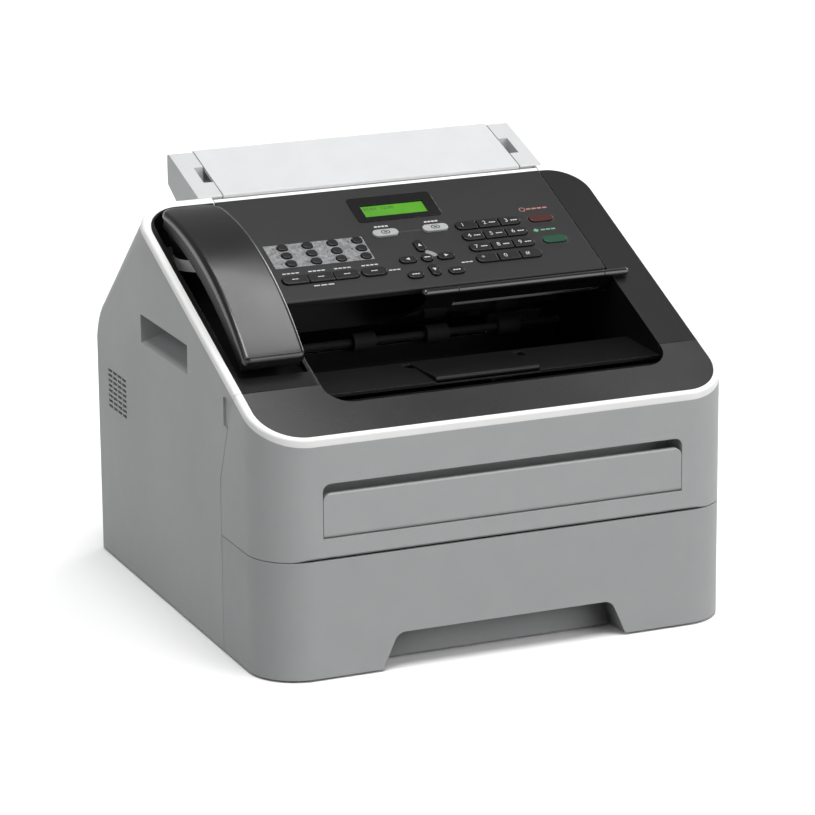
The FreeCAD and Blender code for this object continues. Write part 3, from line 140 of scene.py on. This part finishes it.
def finish_material(
    name, color, rough, grain=2600.0, depth=0.10, mottle=0.05, tone=0.05, wear=0.25, edge=0.0005,
    metal=0.0, coat=0.0, specular=0.5, patch=38.0, stretch=None, hollow=0.0,
):
    """Material with a fine grain, uneven gloss and tone, slightly worn edges, and painted shade in its hollows
    when asked.

    hollow is the reach in metres over which painted shade, drawn from the piece's own walls, darkens its inner
    corners and recesses.
    """
    g = Graph(name)
    shader = g.shader
    shader.inputs["Base Color"].default_value = rgba(color)
    shader.inputs["Roughness"].default_value = rough
    shader.inputs["Metallic"].default_value = metal
    shader.inputs["Coat Weight"].default_value = coat
    shader.inputs["Coat Roughness"].default_value = 0.08
    shader.inputs["Specular IOR Level"].default_value = specular
    cloud = g.noise(patch, detail=4.0, rough=0.55)
    base = g.mix(g.spread(cloud, 0.0, 1.0), rgba(color, 1 - tone), rgba(color, 1 + tone))
    if hollow:
        # Painted shade: ambient occlusion darkens inner corners and recesses towards a tenth of the colour.
        shade = g.add("ShaderNodeAmbientOcclusion", samples=8, only_local=True)
        shade.inputs["Distance"].default_value = hollow
        open_share = g.spread(shade.outputs["AO"], 0.0, 1.0, start=0.5, end=0.98)
        base = g.mix(open_share, rgba(color, 0.1), base)
    edge_share, round_normal = g.edge(edge)
    flecks = g.spread(g.noise(420.0, detail=3.0, rough=0.6), 0.0, wear, start=0.42, end=0.66)
    share = g.add("ShaderNodeMath", operation="MULTIPLY")
    g.join(edge_share, share.inputs[0])
    g.join(flecks, share.inputs[1])
    lighter = tuple(c + (1 - c) * 0.35 for c in color)
    g.join(g.mix(share.outputs[0], base, rgba(lighter)), shader.inputs["Base Color"])
    smear = g.noise(9.0, detail=5.0, rough=0.6, stretch=stretch)
    g.join(g.spread(smear, max(0.02, rough - mottle), min(1.0, rough + mottle)), shader.inputs["Roughness"])
    g.bump(g.noise(grain, stretch=stretch), depth, round_normal)
    return g.material


def display_material():
    """Backlit green display with faint cells and an uneven glow."""
    color = (0.034, 0.122, 0.009)
    g = Graph("display_green")
    shader = g.shader
    shader.inputs["Base Color"].default_value = rgba(color)
    shader.inputs["Roughness"].default_value = 0.22
    shader.inputs["Specular IOR Level"].default_value = 0.15
    cells = g.add("ShaderNodeTexBrick", offset=0.0)
    cells.inputs["Scale"].default_value = 620.0
    cells.inputs["Mortar Size"].default_value = 0.03
    cells.inputs["Brick Width"].default_value = 0.5
    cells.inputs["Row Height"].default_value = 0.5
    cells.inputs["Color1"].default_value = rgba(color)
    cells.inputs["Color2"].default_value = rgba(color, 0.93)
    cells.inputs["Mortar"].default_value = rgba(color, 0.8)
    g.join(g.place, cells.inputs["Vector"])
    glow = g.mix(g.spread(g.noise(30.0), 0.0, 1.0), cells.outputs["Color"], rgba(color, 1.15))
    g.join(glow, shader.inputs["Base Color"])
    g.join(glow, shader.inputs["Emission Color"])
    shader.inputs["Emission Strength"].default_value = 1.5
    g.join(g.spread(g.noise(70.0), 0.18, 0.3), shader.inputs["Roughness"])
    g.bump(g.noise(900.0), strength=0.05)
    return g.material


casing = finish_material("casing_grey", (0.325, 0.331, 0.333), 0.52, depth=0.16, tone=0.025)
# Painted light: the feeder and the document support are the casing grey made paler, standing in for the strong
# top light on them.
feeder = finish_material("feeder_grey", (0.46, 0.465, 0.47), 0.50, depth=0.14, tone=0.025)
support = finish_material("support_grey", (0.49, 0.495, 0.50), 0.50, depth=0.14, tone=0.025)
# Paper tray: the casing grey made a little darker, with painted shade in its recesses.
tray_grey = finish_material("tray_grey", (0.305, 0.311, 0.313), 0.52, depth=0.16, tone=0.025, hollow=0.05)
trim = finish_material("trim_white", (0.77, 0.77, 0.76), 0.36, depth=0.04, tone=0.02)
panel_black = finish_material("panel_black", (0.011, 0.011, 0.0115), 0.42, depth=0.14, specular=0.3)
strip_black = finish_material("strip_black", (0.008, 0.008, 0.0083), 0.26, depth=0.05, specular=0.4)
cradle_black = finish_material("cradle_black", (0.004, 0.004, 0.0043), 0.40, depth=0.10, specular=0.12)
bar_black = finish_material("bar_black", (0.006, 0.006, 0.0065), 0.14, depth=0.02, coat=0.3)
handset_black = finish_material("handset_black", (0.006, 0.006, 0.0065), 0.24, depth=0.02, coat=0.1)
handset_under = finish_material("handset_under", (0.006, 0.006, 0.0063), 0.40, depth=0.10, specular=0.3)
bin_black = finish_material("bin_black", (0.005, 0.005, 0.0053), 0.36, depth=0.10, specular=0.25)
window_black = finish_material("window_black", (0.005, 0.005, 0.0053), 0.22, depth=0.01, specular=0.25)
key_dark = finish_material("key_dark", (0.005, 0.005, 0.0053), 0.28, depth=0.03, edge=0.0007, specular=0.3)
key_pale = finish_material("key_pale", (0.30, 0.305, 0.31), 0.40, depth=0.06, specular=0.3)
key_red = finish_material("key_red", (0.040, 0.006, 0.005), 0.30, depth=0.04, specular=0.3)
key_green = finish_material("key_green", (0.003, 0.044, 0.021), 0.30, depth=0.04, specular=0.3)
silver = finish_material(
    "silver_plate", (0.18, 0.182, 0.188), 0.38,
    depth=0.05, metal=0.2, patch=330.0, tone=0.45, stretch=(1, 14, 14),
)
ring_metal = finish_material(
    "ring_metal", (0.92, 0.93, 0.93), 0.34,
    grain=900.0, metal=0.1, stretch=(9, 9, 1),
)
steel = finish_material("sheet_steel", (0.55, 0.56, 0.57), 0.38, metal=1.0, stretch=(14, 1, 1))
brass = finish_material("contact_brass", (0.72, 0.52, 0.20), 0.3, metal=1.0)
frame_grey = finish_material("frame_grey", (0.09, 0.09, 0.095), 0.55, depth=0.14)
inner_dark = finish_material("inner_dark", (0.030, 0.030, 0.032), 0.50, depth=0.12)
rubber = finish_material("rubber_black", (0.022, 0.022, 0.022), 0.75, depth=0.22, specular=0.3)
drum_teal = finish_material("drum_coat", (0.02, 0.16, 0.17), 0.20, depth=0.02, coat=0.4)
guide_blue = finish_material("guide_blue", (0.04, 0.10, 0.26), 0.45)
print_white = finish_material("print_white", (0.42, 0.42, 0.42), 0.55, wear=0.0)
print_grey = finish_material("print_grey", (0.20, 0.20, 0.205), 0.55, wear=0.0)
# Dark print, also used for the rings of painted shade around the stop and start keys.
print_dark = finish_material("print_dark", (0.010, 0.010, 0.010), 0.55, wear=0.0)
print_red = finish_material("print_red", (0.30, 0.12, 0.11), 0.55, wear=0.0)
print_green = finish_material("print_green", (0.08, 0.26, 0.14), 0.55, wear=0.0)
display = display_material()

by_slot = {
    "grey_casing": casing, "pale_trim": trim, "black_panel": panel_black, "black_gloss": strip_black,
    "dark_key": key_dark, "pale_key": key_pale, "red_key": key_red, "green_key": key_green,
    "silver_plate": silver, "ring_metal": ring_metal, "display_glass": display, "inner_plastic": inner_dark,
    "frame_plastic": frame_grey, "rubber": rubber, "drum_coat": drum_teal, "guide_blue": guide_blue,
}
by_node = {
    "feeder_frame": feeder, "document_support": support, "output_bin": bin_black, "output_flap": bin_black,
    "handset_top_shell": handset_black, "handset_bottom_shell": handset_under, "display_window": window_black,
    "lift_plate": steel, "handset_cradle": cradle_black, "document_exit_tray": bar_black,
    "document_exit_slide": bar_black, "paper_tray": tray_grey,
}


def dress_solids():
    """Gives every solid the finish of its node, or else that of its slot."""
    for part in frame["record"]["subparts"]:
        solid = nodes[part["node"]]
        solid.data.materials.clear()
        solid.data.materials.append(by_node.get(part["node"], by_slot[part["material_slot"]]))


# Pieces that ride on the solids

def add_piece(name, vertices, faces, material, body):
    mesh = bpy.data.meshes.new(name)
    mesh.from_pydata(vertices, [], faces)
    mesh.update()
    mesh.materials.append(material)
    piece = bpy.data.objects.new(name, mesh)
    scene.collection.objects.link(piece)
    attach(piece, body)
    return piece


class Marks:
    """Flat printed marks, and some of painted shade, gathered into one thin piece on the sloping top.

    The gap is a share of the word that it divides, and the font is larger than its digits are high.
    """

    word_gap = 0.06
    font_share = 1.35

    def __init__(self, name, material, body, slot, rise):
        self.name, self.material, self.body, self.slot, self.rise = name, material, body, slot, rise
        self.vertices, self.faces = [], []

    def outline(self, points):
        start = len(self.vertices)
        self.vertices += [on_top(x, v, self.rise) for x, v in points]
        self.faces.append(tuple(range(start, start + len(points))))

    def bar(self, x, v, long, tall):
        self.outline([
            (x - long / 2, v - tall / 2), (x + long / 2, v - tall / 2),
            (x + long / 2, v + tall / 2), (x - long / 2, v + tall / 2),
        ])

    def words(self, x, v, long, tall, pieces):
        """Row of short dashes that stands for a printed word."""
        gap = long * self.word_gap
        each = (long - gap * (pieces - 1)) / pieces
        for i in range(pieces):
            self.bar(x - long / 2 + each / 2 + i * (each + gap), v, each, tall)

    def arc(self, x, v, radius, thick, start, end, steps=18):
        inner, outer = radius - thick / 2, radius + thick / 2
        for i in range(steps):
            a = math.radians(start + (end - start) * i / steps)
            b = math.radians(start + (end - start) * (i + 1) / steps)
            self.outline([
                (x + reach * math.cos(turn), v + reach * math.sin(turn))
                for reach, turn in ((inner, a), (outer, a), (outer, b), (inner, b))
            ])

    def ring(self, x, v, long, tall, thick):
        """Outline of a bar with round ends."""
        radius = tall / 2
        straight = long / 2 - radius
        self.bar(x, v + radius, 2 * straight, thick)
        self.bar(x, v - radius, 2 * straight, thick)
        self.arc(x + straight, v, radius, thick, -90, 90)
        self.arc(x - straight, v, radius, thick, 90, 270)

    def text(self, words, x, v, height):
        """Plain characters, centred at a place of the top."""
        curve = bpy.data.curves.new("mark", "FONT")
        curve.body = words
        curve.size = height * self.font_share
        curve.align_x = "CENTER"
        curve.align_y = "CENTER"
        curve.resolution_u = 3
        holder = bpy.data.objects.new("mark", curve)
        scene.collection.objects.link(holder)
        bpy.context.view_layer.update()
        mesh = bpy.data.meshes.new_from_object(holder.evaluated_get(bpy.context.evaluated_depsgraph_get()))
        start = len(self.vertices)
        self.vertices += [on_top(x + p.co.x, v + p.co.y, self.rise) for p in mesh.vertices]
        self.faces += [tuple(start + i for i in f.vertices) for f in mesh.polygons]
        bpy.data.objects.remove(holder)
        bpy.data.curves.remove(curve)
        bpy.data.meshes.remove(mesh)

    def done(self):
        return add_piece(self.name, self.vertices, self.faces, self.material, self.body)


# Places of the marks on the sloping top, in millimetres: heights n of the faces that carry them, then x and v

KEY_TOP = 1.63
PLATE_TOP = 0.33
PANEL_TOP = 0.03
SCREEN_TOP = -0.57
dial_columns = (60.8, 78.8, 96.8)
dial_rows = (27.2, 13.2, -1.0, -15.2)
digit_shift = -3.0
letters_shift = 3.2
speed_columns = (-89.4, -69.5, -49.6, -29.8)
speed_rows = (23.0, 13.2, 3.3)
speed_number_shift = -7.4
function_columns = (-93.9, -73.5, -53.0, -31.2)
function_row = -16.8
function_label_row = -7.6
group_label = (-74.0, -25.2)
mode_columns = (-4.6, 36.0)
mode_row = 28.5
mode_label_row = 37.6
mode_bridge_x = 15.7
nav_x = 15.0
nav_v = -7.2
nav_reach = 15.3
corner_key_columns = {"clear_key": -1.5, "menu_key": 31.4}
corner_key_row = -26.0
corner_label_columns = (-14.6, 44.0)
corner_label_row = -16.4
display_line = (2.6, 61.0)
command_x = 122.6
command_sign_x = 113.0
stop_label_x = 125.0
start_label_x = 123.0
stop_row = 26.8
stop_label_row = 40.4
start_row = -0.8
start_label_row = 13.0


def dial_marks():
    """Digits on the dial keys, with dashes for the letters beside them."""
    for row, v in enumerate(dial_rows):
        number = row + 1
        marks = Marks("dial_print_%d" % number, print_white, "dial_row_%d" % number, "dark_key", KEY_TOP)
        for x, sign in zip(dial_columns, ("123", "456", "789", "*0#")[row]):
            marks.text(sign, x + digit_shift, v, height=4.4)
            if sign.isdigit() and sign not in "01":
                marks.words(x + letters_shift, v - 0.3, long=5.2, tall=1.1, pieces=3)
        marks.done()


def panel_marks():
    """Dashes and signs printed on the panel, the line of the display, and rings of painted shade around the
    stop and start keys.
    """
    white = Marks("panel_print", print_white, "control_panel", "black_panel", PANEL_TOP)
    for x in function_columns:
        white.words(x, function_label_row, long=13.0, tall=1.3, pieces=4)
    white.words(*group_label, long=16.0, tall=1.2, pieces=3)
    for x in mode_columns:
        white.words(x, mode_label_row, long=11.0, tall=1.7, pieces=4)
    for x in corner_label_columns:
        white.words(x, corner_label_row, long=9.0, tall=1.2, pieces=3)
    white.done()
    grey = Marks("panel_lines", print_grey, "control_panel", "black_panel", PANEL_TOP)
    grey.arc(nav_x, nav_v, radius=8.6, thick=4.2, start=14, end=76)
    grey.done()
    # Dark print for the bar that joins the mode keys, and rings of painted shade around the stop and start
    # keys.
    dark = Marks("panel_shades", print_dark, "control_panel", "black_panel", PANEL_TOP)
    dark.bar(mode_bridge_x, mode_row, long=19.0, tall=1.8)
    for row in (stop_row, start_row):
        dark.ring(command_x, row, long=21.4, tall=10.2, thick=1.4)
    dark.done()
    lines = Marks("display_print", print_dark, "control_panel", "display_glass", SCREEN_TOP)
    lines.text("01/01  12:00", *display_line, height=3.6)
    lines.done()
    stop = Marks("stop_print", print_red, "control_panel", "red_key", PANEL_TOP)
    stop.arc(command_sign_x, stop_label_row, radius=2.2, thick=0.7, start=0, end=360)
    stop.words(stop_label_x, stop_label_row, long=17.0, tall=1.7, pieces=4)
    stop.done()
    start = Marks("start_print", print_green, "control_panel", "green_key", PANEL_TOP)
    lozenge_half = 2.4
    start.outline([
        (command_sign_x + x * lozenge_half, start_label_row + v * lozenge_half)
        for x, v in ((0, -1), (1, 0), (0, 1), (-1, 0))
    ])
    start.words(start_label_x, start_label_row, long=12.0, tall=1.7, pieces=3)
    start.done()


def key_marks():
    """Arrows, signs and dashes on the keys."""
    arrow = ((2.0, 0.0), (-1.2, 1.6), (-1.2, -1.6))
    for name, across, along, turn in (
        ("nav_up", 0, 1, 90), ("nav_down", 0, -1, 270), ("nav_left", -1, 0, 180), ("nav_right", 1, 0, 0),
    ):
        marks = Marks(name + "_print", print_white, name + "_key", "dark_key", KEY_TOP)
        x, v = nav_x + across * nav_reach, nav_v + along * nav_reach
        a = math.radians(turn)
        marks.outline([
            (x + p * math.cos(a) - q * math.sin(a), v + p * math.sin(a) + q * math.cos(a)) for p, q in arrow
        ])
        marks.done()
    for name, x in zip(("fax_mode", "copy_mode"), mode_columns):
        marks = Marks(name + "_print", print_dark, name + "_key", "pale_key", KEY_TOP)
        marks.ring(x, mode_row, long=6.4, tall=3.6, thick=0.8)
        marks.bar(x, mode_row, long=2.6, tall=1.2)
        marks.done()
    marks = Marks("nav_centre_print", print_white, "nav_centre_key", "dark_key", KEY_TOP)
    marks.words(nav_x, nav_v, long=4.4, tall=1.2, pieces=2)
    marks.done()
    for name, x in corner_key_columns.items():
        marks = Marks(name.replace("key", "print"), print_white, name, "dark_key", KEY_TOP)
        marks.words(x, corner_key_row, long=6.0, tall=1.2, pieces=3)
        marks.done()
    marks = Marks("function_print", print_white, "function_keys", "dark_key", KEY_TOP)
    for x in function_columns:
        marks.words(x, function_row, long=5.0, tall=0.9, pieces=2)
    marks.done()


def speed_marks():
    """Numbers beside the speed keys."""
    marks = Marks("speed_print", print_dark, "control_panel", "silver_plate", PLATE_TOP)
    places = [(x, v) for v in speed_rows for x in speed_columns]
    for number, (x, v) in enumerate(places, 1):
        marks.text(str(number), x + speed_number_shift, v, height=2.9)
    marks.done()


# Small fittings, in millimetres

def rods(name, spots, radius, length, direction, material, body, sides=20):
    """Short round heads with a bevelled rim, at several places."""
    vertices, faces = [], []
    turn = Vector((0, 0, 1)).rotation_difference(direction).to_matrix()
    rings = [(radius, 0.0), (radius, length * 0.7), (radius * 0.86, length)]
    for spot in spots:
        start = len(vertices)
        for r, h in rings:
            for i in range(sides):
                a = 2 * math.pi * i / sides
                vertices.append((spot + turn @ Vector((r * math.cos(a), r * math.sin(a), h))) * MM)
        for k in range(len(rings) - 1):
            low, high = start + k * sides, start + (k + 1) * sides
            for i in range(sides):
                j = (i + 1) % sides
                faces.append((low + i, low + j, high + j, high + i))
        top = start + (len(rings) - 1) * sides
        faces.append(tuple(range(top, top + sides)))
        faces.append(tuple(reversed(range(start, start + sides))))
    return add_piece(name, vertices, faces, material, body)


def bars(name, boxes, material, body):
    """Small upright boxes given by their low and high corners."""
    vertices, faces = [], []
    quads = ((0, 3, 2, 1), (4, 5, 6, 7), (0, 1, 5, 4), (1, 2, 6, 5), (2, 3, 7, 6), (3, 0, 4, 7))
    for low, high in boxes:
        start = len(vertices)
        for z in (low[2], high[2]):
            vertices += [Vector(p) * MM for p in (
                (low[0], low[1], z), (high[0], low[1], z), (high[0], high[1], z), (low[0], high[1], z))]
        faces += [tuple(start + i for i in q) for q in quads]
    return add_piece(name, vertices, faces, material, body)


def rear_screws():
    screw_x, screw_y, screw_heights = 136, 179.9, (20, 130)
    radius, length = 3.2, 1.2
    spots = [Vector((x, screw_y, z)) for x in (-screw_x, screw_x) for z in screw_heights]
    rods("rear_screws", spots, radius, length, Vector((0, 1, 0)), steel, "base")


def jack_contacts():
    """Four thin contacts in each line socket."""
    jack_x, jack_heights, pitch, half = -132, (70, 90), 1.6, 0.3
    front, back, low, high = 166.5, 176, 2.5, 3.2
    contacts = []
    for height in jack_heights:
        z = height + FEET
        for i in range(-2, 2):
            x = jack_x + pitch * i
            contacts.append(((x - half, front, z + low), (x + half, back, z + high)))
    bars("jack_contacts", contacts, brass, "base")


def rear_door_seal():
    """Thin dark sheet behind the seams at the top and the sides of the rear door, as painted shade: it darkens
    the inside seen through the bin and stops light through the seams.
    """
    front, back = 176.9, 177.3
    left, right, bottom, shoulder, top = -122, 147, 100.0, 140.0, 158.0
    side_x, side_half = 118.5, 3.5
    seal = [((left, front, shoulder), (right, back, top))]
    for x in (-side_x, side_x):
        seal.append(((x - side_half, front, bottom), (x + side_half, back, shoulder)))
    # Dark rubber sheet as painted shade inside the machine.
    bars("rear_door_seal", seal, rubber, "base")


def vent_screens():
    """Thin screens behind the air slots of both side covers."""
    inner_x, thick = 181.0, 0.4
    front, back, bottom, top = 106.0, 153.0, 119.0, 156.0
    sides = (-inner_x - thick, inner_x)
    screens = [((x, front, bottom), (x + thick, back, top)) for x in sides]
    bars("vent_screens", screens, frame_grey, "base")


def rear_corner_plate():
    """Leaning plate that closes the corner between the rear panel and the trim, beside the feeder."""
    left, right = -145.2, -130.3
    outer = [(99.9, 278.7), (92.0, 287.8)]
    inset_y, inset_z = 1.9, 1.6
    inner = [(y - inset_y, z - inset_z) for y, z in outer]
    corners = [Vector((x, y, z)) * MM for x in (left, right) for y, z in outer + inner]
    sides = [(0, 2, 3, 1), (4, 5, 7, 6), (0, 1, 5, 4), (1, 3, 7, 5), (3, 2, 6, 7), (2, 0, 4, 6)]
    add_piece("rear_corner_plate", corners, sides, casing, "base")


# Studio, in metres

def pale_floor():
    """Floor that looks pale, also in reflections, and throws little light back up."""
    size, drop = 9.0, 0.0002
    mesh = bpy.data.meshes.new("floor")
    corners = [(-size, -size, 0), (size, -size, 0), (size, size, 0), (-size, size, 0)]
    mesh.from_pydata(corners, [], [(0, 1, 2, 3)])
    floor = bpy.data.objects.new("floor", mesh)
    floor.location.z = -drop
    scene.collection.objects.link(floor)
    g = Graph("floor_pale")
    g.shader.inputs["Base Color"].default_value = (0.93, 0.93, 0.93, 1)
    g.shader.inputs["Roughness"].default_value = 0.7
    g.shader.inputs["Specular IOR Level"].default_value = 0.1
    pale = g.mix(g.spread(g.noise(3.0), 0.0, 1.0), (0.92, 0.92, 0.92, 1), (0.94, 0.94, 0.94, 1))
    path = g.add("ShaderNodeLightPath")
    seen = path.outputs["Is Camera Ray"]
    for kind in ("Is Glossy Ray", "Is Transmission Ray"):
        either = g.add("ShaderNodeMath", operation="MAXIMUM")
        g.join(seen, either.inputs[0])
        g.join(path.outputs[kind], either.inputs[1])
        seen = either.outputs[0]
    g.join(g.mix(seen, (0.20, 0.20, 0.20, 1), pale), g.shader.inputs["Base Color"])
    mesh.materials.append(g.material)


def studio_world():
    """Surroundings that are pale near the horizon and dimmer above it."""
    world = bpy.data.worlds.new("studio")
    scene.world = world
    world.use_nodes = True
    tree = world.node_tree
    background = tree.nodes["Background"]
    place = tree.nodes.new("ShaderNodeTexCoord")
    split = tree.nodes.new("ShaderNodeSeparateXYZ")
    fall = tree.nodes.new("ShaderNodeMapRange")
    fall.interpolation_type = "SMOOTHSTEP"
    fall.inputs["From Min"].default_value = 0.10
    fall.inputs["From Max"].default_value = 0.30
    fall.inputs["To Min"].default_value = 0.95
    fall.inputs["To Max"].default_value = 0.26
    tree.links.new(place.outputs["Generated"], split.inputs["Vector"])
    tree.links.new(split.outputs["Z"], fall.inputs["Value"])
    tree.links.new(fall.outputs["Result"], background.inputs["Strength"])
    background.inputs["Color"].default_value = (0.985, 0.992, 1.0, 1)


def lamp(name, kind, place, energy, **settings):
    """Lamp that points at the middle of the machine."""
    middle = Vector((0, 0, 0.15))
    data = bpy.data.lights.new(name, kind)
    data.energy = energy
    for key, value in settings.items():
        setattr(data, key, value)
    light = bpy.data.objects.new(name, data)
    light.location = place
    light.rotation_mode = "QUATERNION"
    light.rotation_quaternion = (middle - Vector(place)).to_track_quat("-Z", "Y")
    scene.collection.objects.link(light)


def lamps():
    """Four broad suns, and two cards that make the highlights of the handset and the black strip."""
    lamp("top_light", "SUN", (-0.10, -0.74, 3.35), 2.2, angle=math.radians(30))
    lamp("front_light", "SUN", (1.8, -2.25, 1.15), 1.65, angle=math.radians(50))
    lamp("left_light", "SUN", (-2.2, -0.8, 2.15), 0.52, angle=math.radians(30))
    lamp("back_light", "SUN", (2.4, 1.65, 1.05), 0.8, angle=math.radians(25))
    lamp("left_card", "AREA", (0.24, 0.05, 1.33), 3.4, shape="RECTANGLE", size=0.90, size_y=0.18)
    lamp("right_card", "AREA", (0.80, 0.47, 1.40), 0.42, shape="RECTANGLE", size=0.40, size_y=0.24)


def camera():
    """Camera of the photo."""
    photo_pixels, focal_pixels = 815.0, 3800.92
    turn, height, roll = math.radians(-23.066), math.radians(15.695), math.radians(-0.478)
    spot = Vector((-1.075598, -2.528528, 0.907920 + FEET * MM))
    back = Vector((math.sin(turn) * math.cos(height), -math.cos(turn) * math.cos(height), math.sin(height)))
    right = (-back).cross(Vector((0, 0, 1))).normalized()
    up = right.cross(-back)
    side = right * math.cos(roll) + up * math.sin(roll)
    top = -right * math.sin(roll) + up * math.cos(roll)
    data = bpy.data.cameras.new("photo_camera")
    data.sensor_width = 36.0
    data.lens = data.sensor_width * focal_pixels / photo_pixels
    data.clip_end = 40.0
    eye = bpy.data.objects.new("photo_camera", data)
    eye.matrix_world = Matrix((
        (side.x, top.x, back.x, spot.x),
        (side.y, top.y, back.y, spot.y),
        (side.z, top.z, back.z, spot.z),
        (0, 0, 0, 1),
    ))
    scene.collection.objects.link(eye)
    scene.camera = eye


scene.view_settings.view_transform = "Standard"
dress_solids()
dial_marks()
panel_marks()
key_marks()
speed_marks()
rear_screws()
jack_contacts()
rear_door_seal()
vent_screens()
rear_corner_plate()
pale_floor()
studio_world()
lamps()
camera()
